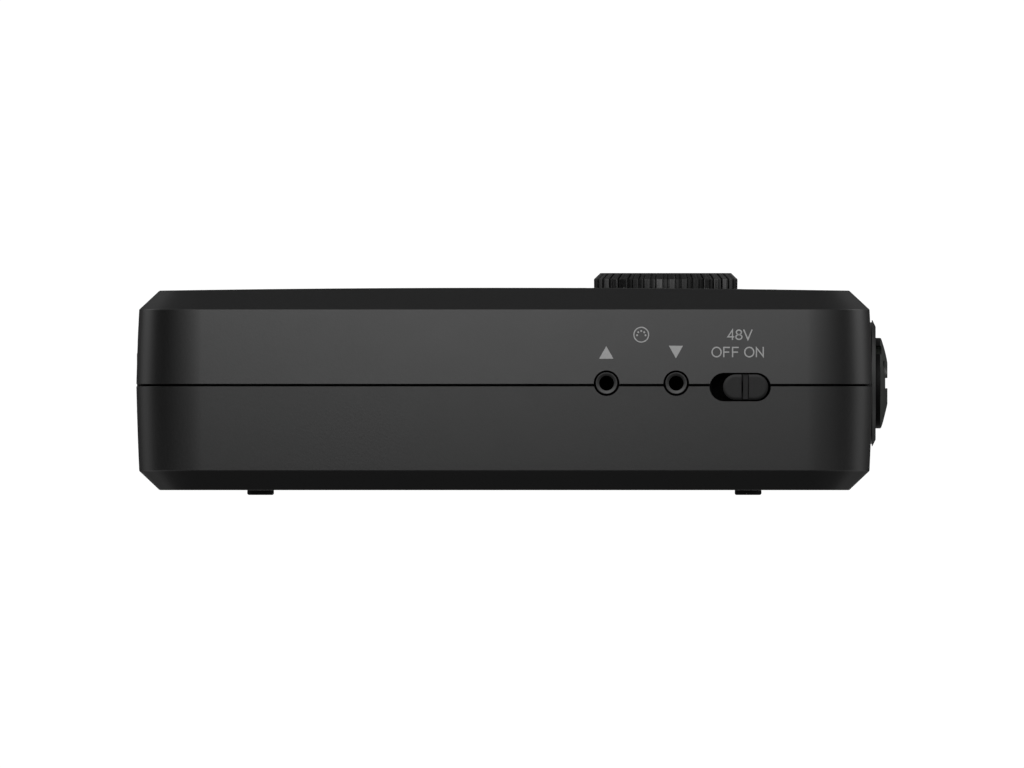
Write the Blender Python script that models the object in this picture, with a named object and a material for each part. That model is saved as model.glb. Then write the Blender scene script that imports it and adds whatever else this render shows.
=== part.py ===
"""A portable two-channel audio interface, as an assembly of separate parts.

Every size is in metres. The drawing frame has its origin under the middle of the case, on the
surface that the feet stand on: +X points to the end with the two microphone inputs, -Y to the
side with the small data sockets and the phantom power switch, and +Z up. An empty shifts the
whole assembly so that the middle of its own outer box lies over the world origin.
"""

import math

import bmesh
import bpy
from mathutils import Vector

MM = 0.001

# Case: insets are measured from the outline at the parting line
CASE_LENGTH = 130.0 * MM
CASE_WIDTH = 80.0 * MM
CORNER_RADIUS = 11.5 * MM
FLOOR_Z = 0.85 * MM
LOWER_EDGE_Z = 4.25 * MM
PARTING_Z = 19.45 * MM
UPPER_EDGE_Z = 32.9 * MM
ROOF_EDGE_Z = 36.1 * MM
ROOF_CROWN = 0.5 * MM
DRAFT_INSET = 0.5 * MM
ROOF_INSET = 4.1 * MM
WALL = 2.0 * MM
PARTING_GAP = 0.42 * MM
TONGUE_HEIGHT = 1.2 * MM
TONGUE_INSET = 0.55 * MM
FIT = 0.1 * MM
INNER_FLOOR_Z = 3.45 * MM
INNER_ROOF_Z = 34.2 * MM

# Things that several parts share
CHANNEL_Y = 16.5 * MM
BOARD_LOW_Z = 22.2 * MM
BOARD_HIGH_Z = 23.8 * MM
BIG_JACK_Z = 19.75 * MM

# Gain knobs
KNOB_X = 28.5 * MM
KNOB_RADIUS = 12.7 * MM
KNOB_LOW_Z = 36.0 * MM
KNOB_EDGE_Z = 38.1 * MM
KNOB_TOP_Z = 39.2 * MM
KNOB_BEVEL = 1.15 * MM
KNOB_RIBS = 36
RIB_DEPTH = 0.35 * MM
KNOB_RECESS_RADIUS = 13.0 * MM
KNOB_RECESS_Z = 35.7 * MM
SHAFT_RADIUS = 3.0 * MM

# Combined microphone and jack inputs
COLLAR_RADIUS = 11.15 * MM
COLLAR_FACE_RADIUS = 10.0 * MM
COLLAR_EDGE_X = 65.0 * MM
COLLAR_FACE_X = 65.6 * MM
SOCKET_RADIUS = 9.55 * MM
INSERT_RADIUS = 8.0 * MM
INSERT_RIM_X = 66.5 * MM
INSERT_NOSE_X = 67.7 * MM
INSERT_BACK_X = 47.0 * MM
JACK_BORE_RADIUS = 3.35 * MM
PIN_CIRCLE_RADIUS = 5.65 * MM
PIN_HOLE_RADIUS = 1.2 * MM

# Front side: data sockets and phantom power switch
DATA_JACKS = (("midi_out_jack", 18.05 * MM), ("midi_in_jack", 30.35 * MM))
DATA_JACK_Z = 19.75 * MM
PHANTOM_X = 41.65 * MM
MONITOR_X = 46.0 * MM
SWITCH_Z = 19.05 * MM
SLOT_LENGTH = 10.7 * MM
SLOT_HEIGHT = 5.0 * MM
SLIDER_LENGTH = 8.0 * MM
SLIDER_HEIGHT = 4.5 * MM
SLIDER_TRAVEL = 1.9 * MM

# Left end: outputs and host port
LINE_JACKS = (("line_jack_right", -20.0 * MM), ("line_jack_left", -3.0 * MM))
PHONES_Y = 12.0 * MM
USB_Y = 22.5 * MM
USB_Z = 20.3 * MM

# Back side: volume wheels and power inlet
WHEELS = (("output_wheel", -42.0 * MM), ("phones_wheel", -20.0 * MM))
WHEEL_Y = 33.3 * MM
WHEEL_Z = 20.0 * MM
WHEEL_RADIUS = 8.0 * MM
WHEEL_HALF = 1.4 * MM
POWER_X = 29.7 * MM
POWER_Z = 18.0 * MM

# Battery bay, open through the underside
BAY_LOW = Vector((-32.5, 1.5, 2.5)) * MM
BAY_HIGH = Vector((22.5, 32.0, 17.2)) * MM
BAY_WALL = 0.9 * MM
DOOR_X = (-34.5 * MM, 24.5 * MM)
DOOR_Y = 0.0 * MM
DOOR_TOP_Z = 2.3 * MM

# Fixings and feet
SCREW_SPOTS = [(x * 54.5 * MM, y * 30.5 * MM) for x in (-1, 1) for y in (-1, 1)]
BOARD_SCREW_SPOTS = [(-22.0 * MM, -20.0 * MM), (6.0 * MM, -20.0 * MM)]
FOOT_X = 43.05 * MM
FOOT_Y = 26.0 * MM
FOOT_WIDTH = 4.8 * MM
FOOT_LENGTH = 12.0 * MM
LAMPS = [
    ("signal_lamp_1", 9.0 * MM, -CHANNEL_Y),
    ("signal_lamp_2", 9.0 * MM, CHANNEL_Y),
    ("phantom_lamp", 9.0 * MM, 0.0),
    ("power_lamp", -50.0 * MM, -6.0 * MM),
    ("host_lamp", -50.0 * MM, 0.0),
    ("data_lamp", -50.0 * MM, 6.0 * MM),
]

CORNER_STEPS = 6
ROOF_STEPS = 8
PLUS_X, MINUS_X, PLUS_Y, MINUS_Y = "+X", "-X", "+Y", "-Y"
TURNS = {
    PLUS_X: (0, math.pi / 2, 0),
    MINUS_X: (0, -math.pi / 2, 0),
    PLUS_Y: (-math.pi / 2, 0, 0),
    MINUS_Y: (math.pi / 2, 0, 0),
    "+Z": (0, 0, 0),
}


# ---------------------------------------------------------------- shape helpers


def clear_scene():
    for obj in list(bpy.data.objects):
        bpy.data.objects.remove(obj)


def material(name, color, roughness, metallic=0.0):
    made = bpy.data.materials.new(name)
    made.use_nodes = True
    shader = made.node_tree.nodes["Principled BSDF"]
    shader.inputs["Base Color"].default_value = (*color, 1.0)
    shader.inputs["Roughness"].default_value = roughness
    shader.inputs["Metallic"].default_value = metallic
    return made


def loft(rings, flat_ends=False):
    """A closed solid through rings with equal counts, its ends closed by one face or by strips."""
    bm = bmesh.new()
    loops = [[bm.verts.new(point) for point in ring] for ring in rings]
    count = len(loops[0])
    for lower, upper in zip(loops, loops[1:]):
        for i in range(count):
            j = (i + 1) % count
            bm.faces.new((lower[i], lower[j], upper[j], upper[i]))
    for loop in (loops[0], loops[-1]):
        if flat_ends:
            bm.faces.new(loop)
            continue
        for i in range(count // 2 - 1):
            bm.faces.new((loop[i], loop[i + 1], loop[count - 2 - i], loop[count - 1 - i]))
    bmesh.ops.recalc_face_normals(bm, faces=bm.faces)
    return bm


def turned(profile, steps=32, closed=False):
    """A solid turned about Z from (radius, height) points, from axis to axis unless closed."""
    bm = bmesh.new()
    angles = [2 * math.pi * i / steps for i in range(steps)]
    rings = []
    for radius, height in profile:
        if radius == 0:
            rings.append([bm.verts.new((0, 0, height))])
        else:
            ring = [(radius * math.cos(a), radius * math.sin(a), height) for a in angles]
            rings.append([bm.verts.new(point) for point in ring])
    pairs = list(zip(rings, rings[1:]))
    if closed:
        pairs.append((rings[-1], rings[0]))
    for first, second in pairs:
        for i in range(steps):
            j = (i + 1) % steps
            corners = [first[i % len(first)], first[j % len(first)]]
            corners += [second[j % len(second)], second[i % len(second)]]
            bm.faces.new(list(dict.fromkeys(corners)))
    bmesh.ops.recalc_face_normals(bm, faces=bm.faces)
    return bm


def cylinder(radius, low, high, steps=20):
    return turned([(0, low), (radius, low), (radius, high), (0, high)], steps)


def block(low, high):
    """A box between two corners."""
    size = Vector(high) - Vector(low)
    bm = bmesh.new()
    bmesh.ops.create_cube(bm, size=1.0)
    for vert in bm.verts:
        vert.co = Vector((vert.co.x * size.x, vert.co.y * size.y, vert.co.z * size.z))
        vert.co += (Vector(low) + Vector(high)) / 2
    return bm


def prism(outline, levels):
    """Stacks (inset, height) levels of an outline function that takes the inset."""
    return loft([[(x, y, height) for x, y in outline(inset)] for inset, height in levels])


def stadium(length, width, steps=5):
    """An outline function for a slot shape along X, from its leftmost point round to it again."""

    def outline(inset=0.0):
        radius = width / 2 - inset
        reach = (length - width) / 2
        left = [(math.pi + math.pi / 2 * i / steps, -reach) for i in range(steps + 1)]
        right = [(1.5 * math.pi + math.pi / 2 * i / steps, reach) for i in range(steps + 1)]
        lower = [(middle + radius * math.cos(a), radius * math.sin(a)) for a, middle in left + right]
        upper = [(x, -y) for x, y in lower[-2:0:-1]]
        return lower + upper

    return outline


def closed_prism(points, low, high):
    """A prism over any closed outline, with flat ends."""
    return loft([[(x, y, height) for x, y in points] for height in (low, high)], flat_ends=True)


def slot_solid(length, width, low, high):
    return closed_prism(stadium(length, width)(), low, high)


def place(name, bm, look=None, at=(0, 0, 0), facing="+Z"):
    """Turns a bmesh into an object of the assembly. With no look it is a hidden tool."""
    mesh = bpy.data.meshes.new(name)
    bm.to_mesh(mesh)
    bm.free()
    obj = bpy.data.objects.new(name, mesh)
    bpy.context.scene.collection.objects.link(obj)
    obj.parent = ASSEMBLY
    obj.location = at
    obj.rotation_euler = TURNS[facing]
    mesh.shade_smooth()
    mesh.set_sharp_from_angle(angle=math.radians(30))
    if look:
        mesh.materials.append(look)
    else:
        obj.hide_render = True
        obj.display_type = "WIRE"
    return obj


def combine(obj, operation, tools):
    for tool in tools:
        modifier = obj.modifiers.new(tool.name, "BOOLEAN")
        modifier.operation = operation
        modifier.solver = "EXACT"
        modifier.object = tool
    return obj


def cut(obj, *tools):
    return combine(obj, "DIFFERENCE", tools)


def join(obj, *tools):
    return combine(obj, "UNION", tools)


# ------------------------------------------------------------------------- case


def roof_height(x):
    """The roof is crowned along the case's length."""
    reach = CASE_LENGTH / 2 - ROOF_INSET
    return ROOF_EDGE_Z + ROOF_CROWN * (1 - (x / reach) ** 2)


def case_ring(inset, height=None):
    """The case's outline moved inwards by inset. With no height it lies on the crowned roof."""
    half_x, half_y = CASE_LENGTH / 2 - inset, CASE_WIDTH / 2 - inset
    radius = CORNER_RADIUS - inset
    lower = []
    for start, middle in ((math.pi, radius - half_x), (1.5 * math.pi, half_x - radius)):
        for i in range(CORNER_STEPS + 1):
            angle = start + math.pi / 2 * i / CORNER_STEPS
            depth = radius - half_y + radius * math.sin(angle)
            lower.append((middle + radius * math.cos(angle), depth))
    straight = 2 * (half_x - radius)
    between = [(radius - half_x + straight * i / ROOF_STEPS, -half_y) for i in range(1, ROOF_STEPS)]
    lower[CORNER_STEPS + 1 : CORNER_STEPS + 1] = between
    outline = lower + [(x, -y) for x, y in reversed(lower)]
    return [(x, y, roof_height(x) if height is None else height) for x, y in outline]


def outer_hull(name):
    """The whole outer shape below the parting line, as a tool."""
    rings = [case_ring(ROOF_INSET, FLOOR_Z), case_ring(DRAFT_INSET, LOWER_EDGE_Z), case_ring(0, PARTING_Z)]
    return place(name, loft(rings))


def side_openings():
    """Tools for the openings in the side walls. They cross the parting line, so both shells get them."""
    tools = []
    for y in (-CHANNEL_Y, CHANNEL_Y):
        hole = cylinder(COLLAR_RADIUS + 0.2 * MM, 0, 12 * MM, 32)
        tools.append(place("input_hole", hole, at=(58 * MM, y, BIG_JACK_Z), facing=PLUS_X))
    for name, x in DATA_JACKS:
        hole = cylinder(2.24 * MM, 0, 8 * MM, 20)
        tools.append(place(name + "_hole", hole, at=(x, -35 * MM, DATA_JACK_Z), facing=MINUS_Y))
    for x, y, facing in ((PHANTOM_X, -35 * MM, MINUS_Y), (MONITOR_X, 35 * MM, PLUS_Y)):
        hole = slot_solid(SLOT_LENGTH, SLOT_HEIGHT, 0, 8 * MM)
        tools.append(place("switch_slot", hole, at=(x, y, SWITCH_Z), facing=facing))
    for name, y in LINE_JACKS:
        hole = cylinder(5.7 * MM, 0, 8 * MM, 20)
        tools.append(place(name + "_hole", hole, at=(-60 * MM, y, BIG_JACK_Z), facing=MINUS_X))
    hole = cylinder(3.25 * MM, 0, 8 * MM, 16)
    tools.append(place("phones_hole", hole, at=(-60 * MM, PHONES_Y, BIG_JACK_Z), facing=MINUS_X))
    hole = usb_outline(0.35 * MM, 0, 8 * MM)
    tools.append(place("usb_hole", hole, at=(-60 * MM, USB_Y, USB_Z), facing=MINUS_X))
    hole = cylinder(4.1 * MM, 0, 8 * MM, 20)
    tools.append(place("power_hole", hole, at=(POWER_X, 35 * MM, POWER_Z), facing=PLUS_Y))
    for name, x in WHEELS:
        half = Vector((7 * MM, 8 * MM, WHEEL_HALF + 0.5 * MM))
        middle = Vector((x, 38 * MM, WHEEL_Z))
        tools.append(place(name + "_slot", block(middle - half, middle + half)))
    return tools


def top_shell(look):
    rings = [
        case_ring(0, PARTING_Z + PARTING_GAP / 2),
        case_ring(DRAFT_INSET, UPPER_EDGE_Z),
        case_ring(ROOF_INSET),
    ]
    shell = place("top_shell", loft(rings), look)
    rebate = TONGUE_INSET - FIT
    rebate_z = PARTING_Z + TONGUE_HEIGHT + 3 * FIT
    cavity = [
        case_ring(rebate, PARTING_Z - WALL),
        case_ring(rebate, rebate_z),
        case_ring(WALL, rebate_z),
        case_ring(WALL + DRAFT_INSET, UPPER_EDGE_Z - 0.9 * MM),
        case_ring(ROOF_INSET + 0.9 * MM, INNER_ROOF_Z),
    ]
    cut(shell, place("top_cavity", loft(cavity)))
    for i, (x, y) in enumerate(SCREW_SPOTS):
        low, high = 20.2 * MM, 34.8 * MM
        post = turned([(1.6 * MM, low), (3 * MM, low), (3 * MM, high), (1.6 * MM, high)], 12, True)
        join(shell, place(f"top_post_{i}", post, at=(x, y, 0)))
    for y in (-CHANNEL_Y, CHANNEL_Y):
        recess = cylinder(KNOB_RECESS_RADIUS, KNOB_RECESS_Z, 40 * MM, 32)
        hole = cylinder(SHAFT_RADIUS + 0.6 * MM, 30 * MM, 40 * MM, 16)
        cut(shell, place("knob_recess", recess, at=(KNOB_X, y, 0)))
        cut(shell, place("shaft_hole", hole, at=(KNOB_X, y, 0)))
    for name, x, y in LAMPS:
        cut(shell, place(name + "_hole", cylinder(1.15 * MM, 30 * MM, 40 * MM, 12), at=(x, y, 0)))
    return cut(shell, *OPENINGS)


def bottom_shell(look):
    rings = [
        case_ring(ROOF_INSET, FLOOR_Z),
        case_ring(DRAFT_INSET, LOWER_EDGE_Z),
        case_ring(0, PARTING_Z - PARTING_GAP / 2),
        case_ring(TONGUE_INSET, PARTING_Z - PARTING_GAP / 2),
        case_ring(TONGUE_INSET, PARTING_Z + TONGUE_HEIGHT),
    ]
    shell = place("bottom_shell", loft(rings), look)
    cavity = [
        case_ring(ROOF_INSET + 0.1 * MM, INNER_FLOOR_Z),
        case_ring(WALL + DRAFT_INSET, INNER_FLOOR_Z + 1.55 * MM),
        case_ring(WALL, PARTING_Z),
        case_ring(WALL, PARTING_Z + 3 * MM),
    ]
    cut(shell, place("bottom_cavity", loft(cavity)))
    for i, (x, y) in enumerate(SCREW_SPOTS):
        outside = [(4.4 * MM, 6 * MM), (3 * MM, 6 * MM), (3 * MM, 19.4 * MM)]
        post = turned([(0, 3 * MM), (4.4 * MM, 3 * MM), *outside, (0, 19.4 * MM)], 12)
        head = [(3.1 * MM, 0), (3.1 * MM, 4.5 * MM), (1.7 * MM, 4.5 * MM), (1.7 * MM, 21 * MM)]
        join(shell, place(f"bottom_post_{i}", post, at=(x, y, 0)))
        cut(shell, place("screw_hole", turned([(0, 0), *head, (0, 21 * MM)], 12), at=(x, y, 0)))
    for i, (x, y) in enumerate(BOARD_SCREW_SPOTS):
        top = BOARD_LOW_Z - 0.3 * MM
        post = [(2.6 * MM, 3 * MM), (2.6 * MM, top), (1.3 * MM, top), (1.3 * MM, 12 * MM)]
        join(shell, place(f"board_post_{i}", turned([(0, 3 * MM), *post, (0, 12 * MM)], 12), at=(x, y, 0)))
    ledge = 0.3 * MM
    high = (DOOR_X[1] + ledge, CASE_WIDTH, DOOR_TOP_Z + 0.2 * MM)
    door = block((DOOR_X[0] - ledge, DOOR_Y - ledge, -1 * MM), high)
    bay = block((*BAY_LOW.xy, 1 * MM), (*BAY_HIGH.xy, 6 * MM))
    cut(shell, place("door_opening", door), place("bay_opening", bay))
    for x in (-FOOT_X, FOOT_X):
        for y in (-FOOT_Y, FOOT_Y):
            pocket = closed_prism(foot_outline(-0.15 * MM), -1 * MM, 1.8 * MM)
            cut(shell, place("foot_pocket", pocket, at=(x, y, 0)))
    return cut(shell, *OPENINGS)


def battery_door(look):
    """The sliding lid carries on the underside and its chamfer, so it slides out past the back edge."""
    door = place("battery_door", block((DOOR_X[0], DOOR_Y, 0), (DOOR_X[1], CASE_WIDTH, DOOR_TOP_Z)), look)
    combine(door, "INTERSECT", [outer_hull("door_outline")])
    for i in range(3):
        y = (20 + 2.2 * i) * MM
        groove = block((-14 * MM, y, 0), (4 * MM, y + 1.1 * MM, FLOOR_Z + 0.4 * MM))
        cut(door, place("grip_groove", groove))
    return door


def battery_tray(look):
    wall = Vector((BAY_WALL, BAY_WALL, 0))
    roof = Vector((BAY_WALL, BAY_WALL, BAY_WALL))
    outside = block(Vector((*BAY_LOW.xy, 3.75 * MM)) - wall, BAY_HIGH + roof)
    inside = block((*BAY_LOW.xy, 2 * MM), BAY_HIGH)
    return cut(place("battery_tray", outside, look), place("tray_hollow", inside))


def battery_contacts(look):
    """A coil spring and a flat plate for each of the two cells, at opposite ends."""
    for number, y, side in ((1, 9.2 * MM, -1), (2, 24.4 * MM, 1)):
        end = BAY_LOW.x if side < 0 else BAY_HIGH.x
        other = BAY_HIGH.x if side < 0 else BAY_LOW.x
        spring = place(f"battery_spring_{number}", coil_spring(), look, (end - side * 0.3 * MM, y, 10 * MM))
        spring.rotation_euler = (0, -side * math.pi / 2, 0)
        half = Vector((0.2, 4.2, 4.2)) * MM
        middle = Vector((other + side * 0.5 * MM, y, 10 * MM))
        place(f"battery_plate_{number}", block(middle - half, middle + half), look)


def coil_spring():
    """A cone spring along Z: a round wire swept along a narrowing helix."""
    turns, per_turn, sides = 3.5, 8, 4
    wire, length = 0.4 * MM, 4.2 * MM
    count = int(turns * per_turn)
    rings = []
    for i in range(count + 1):
        share = i / count
        angle = 2 * math.pi * turns * share
        outward = Vector((math.cos(angle), math.sin(angle), 0))
        middle = outward * (4.4 - 2.0 * share) * MM + Vector((0, 0, wire + length * share))
        ring = []
        for k in range(sides):
            around = 2 * math.pi * k / sides
            ring.append(middle + wire * (outward * math.cos(around) + Vector((0, 0, math.sin(around)))))
        rings.append(ring)
    return loft(rings)


def foot_outline(inset):
    """A slot shape along Y."""
    return [(y, x) for x, y in stadium(FOOT_LENGTH, FOOT_WIDTH, 4)(inset)]


def feet(look):
    for end, x in (("left", -FOOT_X), ("right", FOOT_X)):
        for side, y in (("front", -FOOT_Y), ("back", FOOT_Y)):
            levels = [(0.4 * MM, 0), (0.12 * MM, 0.1 * MM), (0, 0.35 * MM), (0, 1.6 * MM)]
            place(f"foot_{side}_{end}", prism(foot_outline, levels), look, (x, y, 0))


def screw(head_low, head_high, head_radius, shank_radius, tip):
    """A pan-head screw pointing up, with a cross recess cut by its caller."""
    profile = [(head_radius * 0.7, head_low), (head_radius, head_low + 0.4 * MM), (head_radius, head_high)]
    shank = [(shank_radius, head_high), (shank_radius, tip - MM), (0, tip)]
    return turned([(0, head_low), *profile, *shank], 12)


def cross_recess(at, depth_z, base_z):
    arms = []
    for half_x, half_y in ((1.4 * MM, 0.3 * MM), (0.3 * MM, 1.4 * MM)):
        arm = block((-half_x, -half_y, base_z), (half_x, half_y, depth_z))
        arms.append(place("cross_arm", arm, at=(*at, 0)))
    return arms


def case_screws(look):
    for i, spot in enumerate(SCREW_SPOTS, 1):
        shape = screw(2.3 * MM, 4.2 * MM, 2.7 * MM, 1.4 * MM, 31 * MM)
        cut(place(f"case_screw_{i}", shape, look, (*spot, 0)), *cross_recess(spot, 3.3 * MM, 1 * MM))


def board_screws(look):
    for i, spot in enumerate(BOARD_SCREW_SPOTS, 1):
        low, high = BOARD_HIGH_Z + 0.2 * MM, BOARD_HIGH_Z + 1.6 * MM
        profile = [(0, 13 * MM), (1.0 * MM, 14 * MM), (1.0 * MM, low), (2.2 * MM, low)]
        head = [(2.2 * MM, high - 0.4 * MM), (1.5 * MM, high), (0, high)]
        shape = place(f"board_screw_{i}", turned(profile + head, 12), look, (*spot, 0))
        cut(shape, *cross_recess(spot, high + MM, high - 0.8 * MM))


# ----------------------------------------------------------------------- boards


def main_board(look):
    """The board follows the case's outline, with notches for the big sockets and the case screws."""
    rings = [case_ring(3.2 * MM, height) for height in (BOARD_LOW_Z, BOARD_HIGH_Z)]
    board = place("main_board", loft(rings), look)
    low, high = BOARD_LOW_Z - MM, BOARD_HIGH_Z + MM
    notches = [
        block((33.3 * MM, -28.4 * MM, low), (70 * MM, 28.4 * MM, high)),
        block((50.9 * MM, -45 * MM, low), (70 * MM, 45 * MM, high)),
        block((-70 * MM, -27.6 * MM, low), (-35.7 * MM, 4.6 * MM, high)),
        block((-70 * MM, 4 * MM, low), (-59.5 * MM, 15.5 * MM, high)),
    ]
    for notch in notches:
        cut(board, place("board_notch", notch))
    holes = [(*spot, 3.4 * MM) for spot in SCREW_SPOTS[:2]]
    holes += [(*spot, 1.3 * MM) for spot in BOARD_SCREW_SPOTS]
    holes += [(x, WHEEL_Y, 4.6 * MM) for name, x in WHEELS]
    for x, y, radius in holes:
        cut(board, place("board_hole", cylinder(radius, low, high, 16), at=(x, y, 0)))
    return board


def input_board(look):
    half = Vector((0.8, 25.2, 12.0)) * MM
    middle = Vector((34.4 * MM, 0, BIG_JACK_Z))
    return place("input_board", block(middle - half, middle + half), look)


def board_blocks(looks):
    """Simple housings soldered onto the main board: name, look, middle of the footprint, half sizes."""
    low = BOARD_HIGH_Z + 0.1 * MM
    pieces = [
        ("processor_chip", "black", (-8, -9), (6, 6, 0.6)),
        ("converter_chip", "black", (10, -33), (4, 2.5, 0.6)),
        ("preamp_shield", "tin", (17, 0), (5, 9, 1.7)),
        ("supply_inductor", "black", (-27, 20), (4, 4, 2)),
        ("board_header", "black", (31.3, 0), (1.2, 11, 3.5)),
    ]
    for name, look, (x, y), (half_x, half_y, half_z) in pieces:
        corner = Vector((x - half_x, y - half_y, 0)) * MM + Vector((0, 0, low))
        place(name, block(corner, corner + 2 * Vector((half_x, half_y, half_z)) * MM), looks[look])
    for i, y in enumerate((-12, 12), 1):
        can = turned([(0, 0), (3.1 * MM, 0), (3.1 * MM, 7.4 * MM), (2.8 * MM, 7.7 * MM), (0, 7.7 * MM)], 20)
        place(f"capacitor_{i}", can, looks["tin"], (-28 * MM, (y - 4) * MM, low))


# --------------------------------------------------------------- right end inputs


def combo_inputs(looks):
    for number, y in ((1, -CHANNEL_Y), (2, CHANNEL_Y)):
        centre = (0, y, BIG_JACK_Z)
        housing = place(f"combo_housing_{number}", combo_collar(), looks["black"], centre, PLUS_X)
        half = Vector((12.5, 10.4, 11.8)) * MM
        middle = Vector((48.0 * MM, y, BIG_JACK_Z))
        join(housing, place(f"combo_block_{number}", block(middle - half, middle + half)))
        step = 46.7 * MM
        bore = [(3.6 * MM, 37 * MM), (3.6 * MM, step), (SOCKET_RADIUS, step), (SOCKET_RADIUS, 70 * MM)]
        bore = turned([(0, 37 * MM), *bore, (0, 70 * MM)], 32)
        cut(housing, place(f"combo_bore_{number}", bore, at=centre, facing=PLUS_X))
        insert = place(f"combo_insert_{number}", combo_insert(), looks["insert"], centre, PLUS_X)
        for k in range(3):
            angle = math.radians(90 + 120 * k)
            across, down = PIN_CIRCLE_RADIUS * math.cos(angle), PIN_CIRCLE_RADIUS * math.sin(angle)
            spot = (60 * MM, y + across, BIG_JACK_Z - down)
            hole = cylinder(PIN_HOLE_RADIUS, -7 * MM, 10 * MM, 10)
            cut(insert, place("pin_hole", hole, at=spot, facing=PLUS_X))
        half = Vector((0.42, 9.0, 0.9)) * MM
        groove = Vector((INSERT_NOSE_X, y, BIG_JACK_Z))
        cut(insert, place("insert_groove", block(groove - half, groove + half)))


def combo_collar():
    """The bevelled ring round a socket, about its own axis."""
    outside = [(COLLAR_RADIUS, 58 * MM), (COLLAR_RADIUS, COLLAR_EDGE_X), (COLLAR_FACE_RADIUS, COLLAR_FACE_X)]
    return turned([(0, 58 * MM), *outside, (0, COLLAR_FACE_X)], 32)


def combo_insert():
    """A plug with a domed face round the jack bore."""
    reach = INSERT_NOSE_X - INSERT_RIM_X
    dome_radius = (INSERT_RADIUS**2 - JACK_BORE_RADIUS**2) / (2 * reach)
    face = []
    for i in range(4):
        radius = INSERT_RADIUS + (JACK_BORE_RADIUS - INSERT_RADIUS) * i / 3
        face.append((radius, INSERT_RIM_X + (INSERT_RADIUS**2 - radius**2) / (2 * dome_radius)))
    profile = [(JACK_BORE_RADIUS, INSERT_BACK_X), (INSERT_RADIUS, INSERT_BACK_X), *face]
    return turned(profile, 24, closed=True)


# -------------------------------------------------- front and back side hardware


def data_jacks(look):
    """Small sockets that hang below the main board, with a round nose in the wall."""
    for name, x in DATA_JACKS:
        centre = (x, 0, DATA_JACK_Z)
        outside = [(2.05 * MM, 36 * MM), (2.05 * MM, 39.6 * MM), (1.8 * MM, 39.85 * MM)]
        nose = turned([(0, 36 * MM), *outside, (0, 39.85 * MM)], 20)
        jack = place(name, nose, look, centre, MINUS_Y)
        half = Vector((3.2, 5.5, 2.3)) * MM
        middle = Vector((x, -31.5 * MM, DATA_JACK_Z))
        join(jack, place(name + "_body", block(middle - half, middle + half)))
        cut(jack, place(name + "_bore", cylinder(1.29 * MM, 27 * MM, 45 * MM), at=centre, facing=MINUS_Y))


def slide_switch(name, x, facing, rest, looks):
    """A slide switch on the -Y or +Y side. rest is +1 or -1: the end of the slot the slider rests at."""
    side = -1 if facing == MINUS_Y else 1
    half = Vector((5.0, 2.4, 2.6)) * MM
    middle = Vector((x, side * 33.4 * MM, SWITCH_Z))
    body = place(name + "_switch_body", block(middle - half, middle + half), looks["tin"])
    slot = Vector((2.3, 1.6, 1.3)) * MM
    mouth = Vector((x, side * 35.0 * MM, SWITCH_Z))
    cut(body, place(name + "_switch_mouth", block(mouth - slot, mouth + slot)))
    shift = rest * SLIDER_TRAVEL / 2
    levels = [(0, 37.6 * MM), (0, 39.6 * MM), (0.25 * MM, 39.85 * MM)]
    cap = prism(stadium(SLIDER_LENGTH, SLIDER_HEIGHT), levels)
    slider = place(name + "_slider", cap, looks["black"], (x + shift, 0, SWITCH_Z), facing)
    stem = Vector((1.1, 2.0, 1.1)) * MM
    middle = Vector((x + shift, side * 36.2 * MM, SWITCH_Z))
    join(slider, place(name + "_stem", block(middle - stem, middle + stem)))
    rib = Vector((0.575, 0.4, 2.25)) * MM
    middle = Vector((x + shift, side * 39.7 * MM, SWITCH_Z))
    join(slider, place(name + "_rib", block(middle - rib, middle + rib)))


def volume_wheels(looks):
    """Edge wheels that reach through the back wall, each on a flat control set into the board."""
    teeth = 30
    for name, x in WHEELS:
        outline = []
        for i in range(2 * teeth):
            angle = math.pi * i / teeth
            radius = WHEEL_RADIUS if i % 2 else WHEEL_RADIUS - 0.35 * MM
            outline.append((radius * math.cos(angle), radius * math.sin(angle)))
        disc = closed_prism(outline, -WHEEL_HALF, WHEEL_HALF)
        wheel = place(name, disc, looks["black"], (x, WHEEL_Y, WHEEL_Z))
        bore = cylinder(1.7 * MM, -5 * MM, 5 * MM, 16)
        cut(wheel, place(name + "_bore", bore, at=(x, WHEEL_Y, WHEEL_Z)))
        profile = [(0, 18.7 * MM), (1.5 * MM, 18.7 * MM), (1.5 * MM, 21.7 * MM), (4.2 * MM, 21.7 * MM)]
        profile += [(4.2 * MM, 25 * MM), (0, 25 * MM)]
        place(name + "_control", turned(profile, 20), looks["tin"], (x, WHEEL_Y, 0))


def power_inlet(looks):
    centre = (POWER_X, 0, POWER_Z)
    nose = cylinder(3.9 * MM, 34 * MM, 39.85 * MM)
    jack = place("power_jack", nose, looks["black"], centre, PLUS_Y)
    half = Vector((4.2, 6.0, 3.9)) * MM
    middle = Vector((POWER_X, 31.5 * MM, POWER_Z))
    join(jack, place("power_body", block(middle - half, middle + half)))
    cut(jack, place("power_bore", cylinder(2.85 * MM, 28 * MM, 45 * MM), at=centre, facing=PLUS_Y))
    pin = turned([(0, 28.3 * MM), (0.95 * MM, 28.3 * MM), (0.95 * MM, 37.6 * MM), (0, 38.2 * MM)], 16)
    place("power_pin", pin, looks["tin"], centre, PLUS_Y)


# ------------------------------------------------------------------ left end outputs


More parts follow.
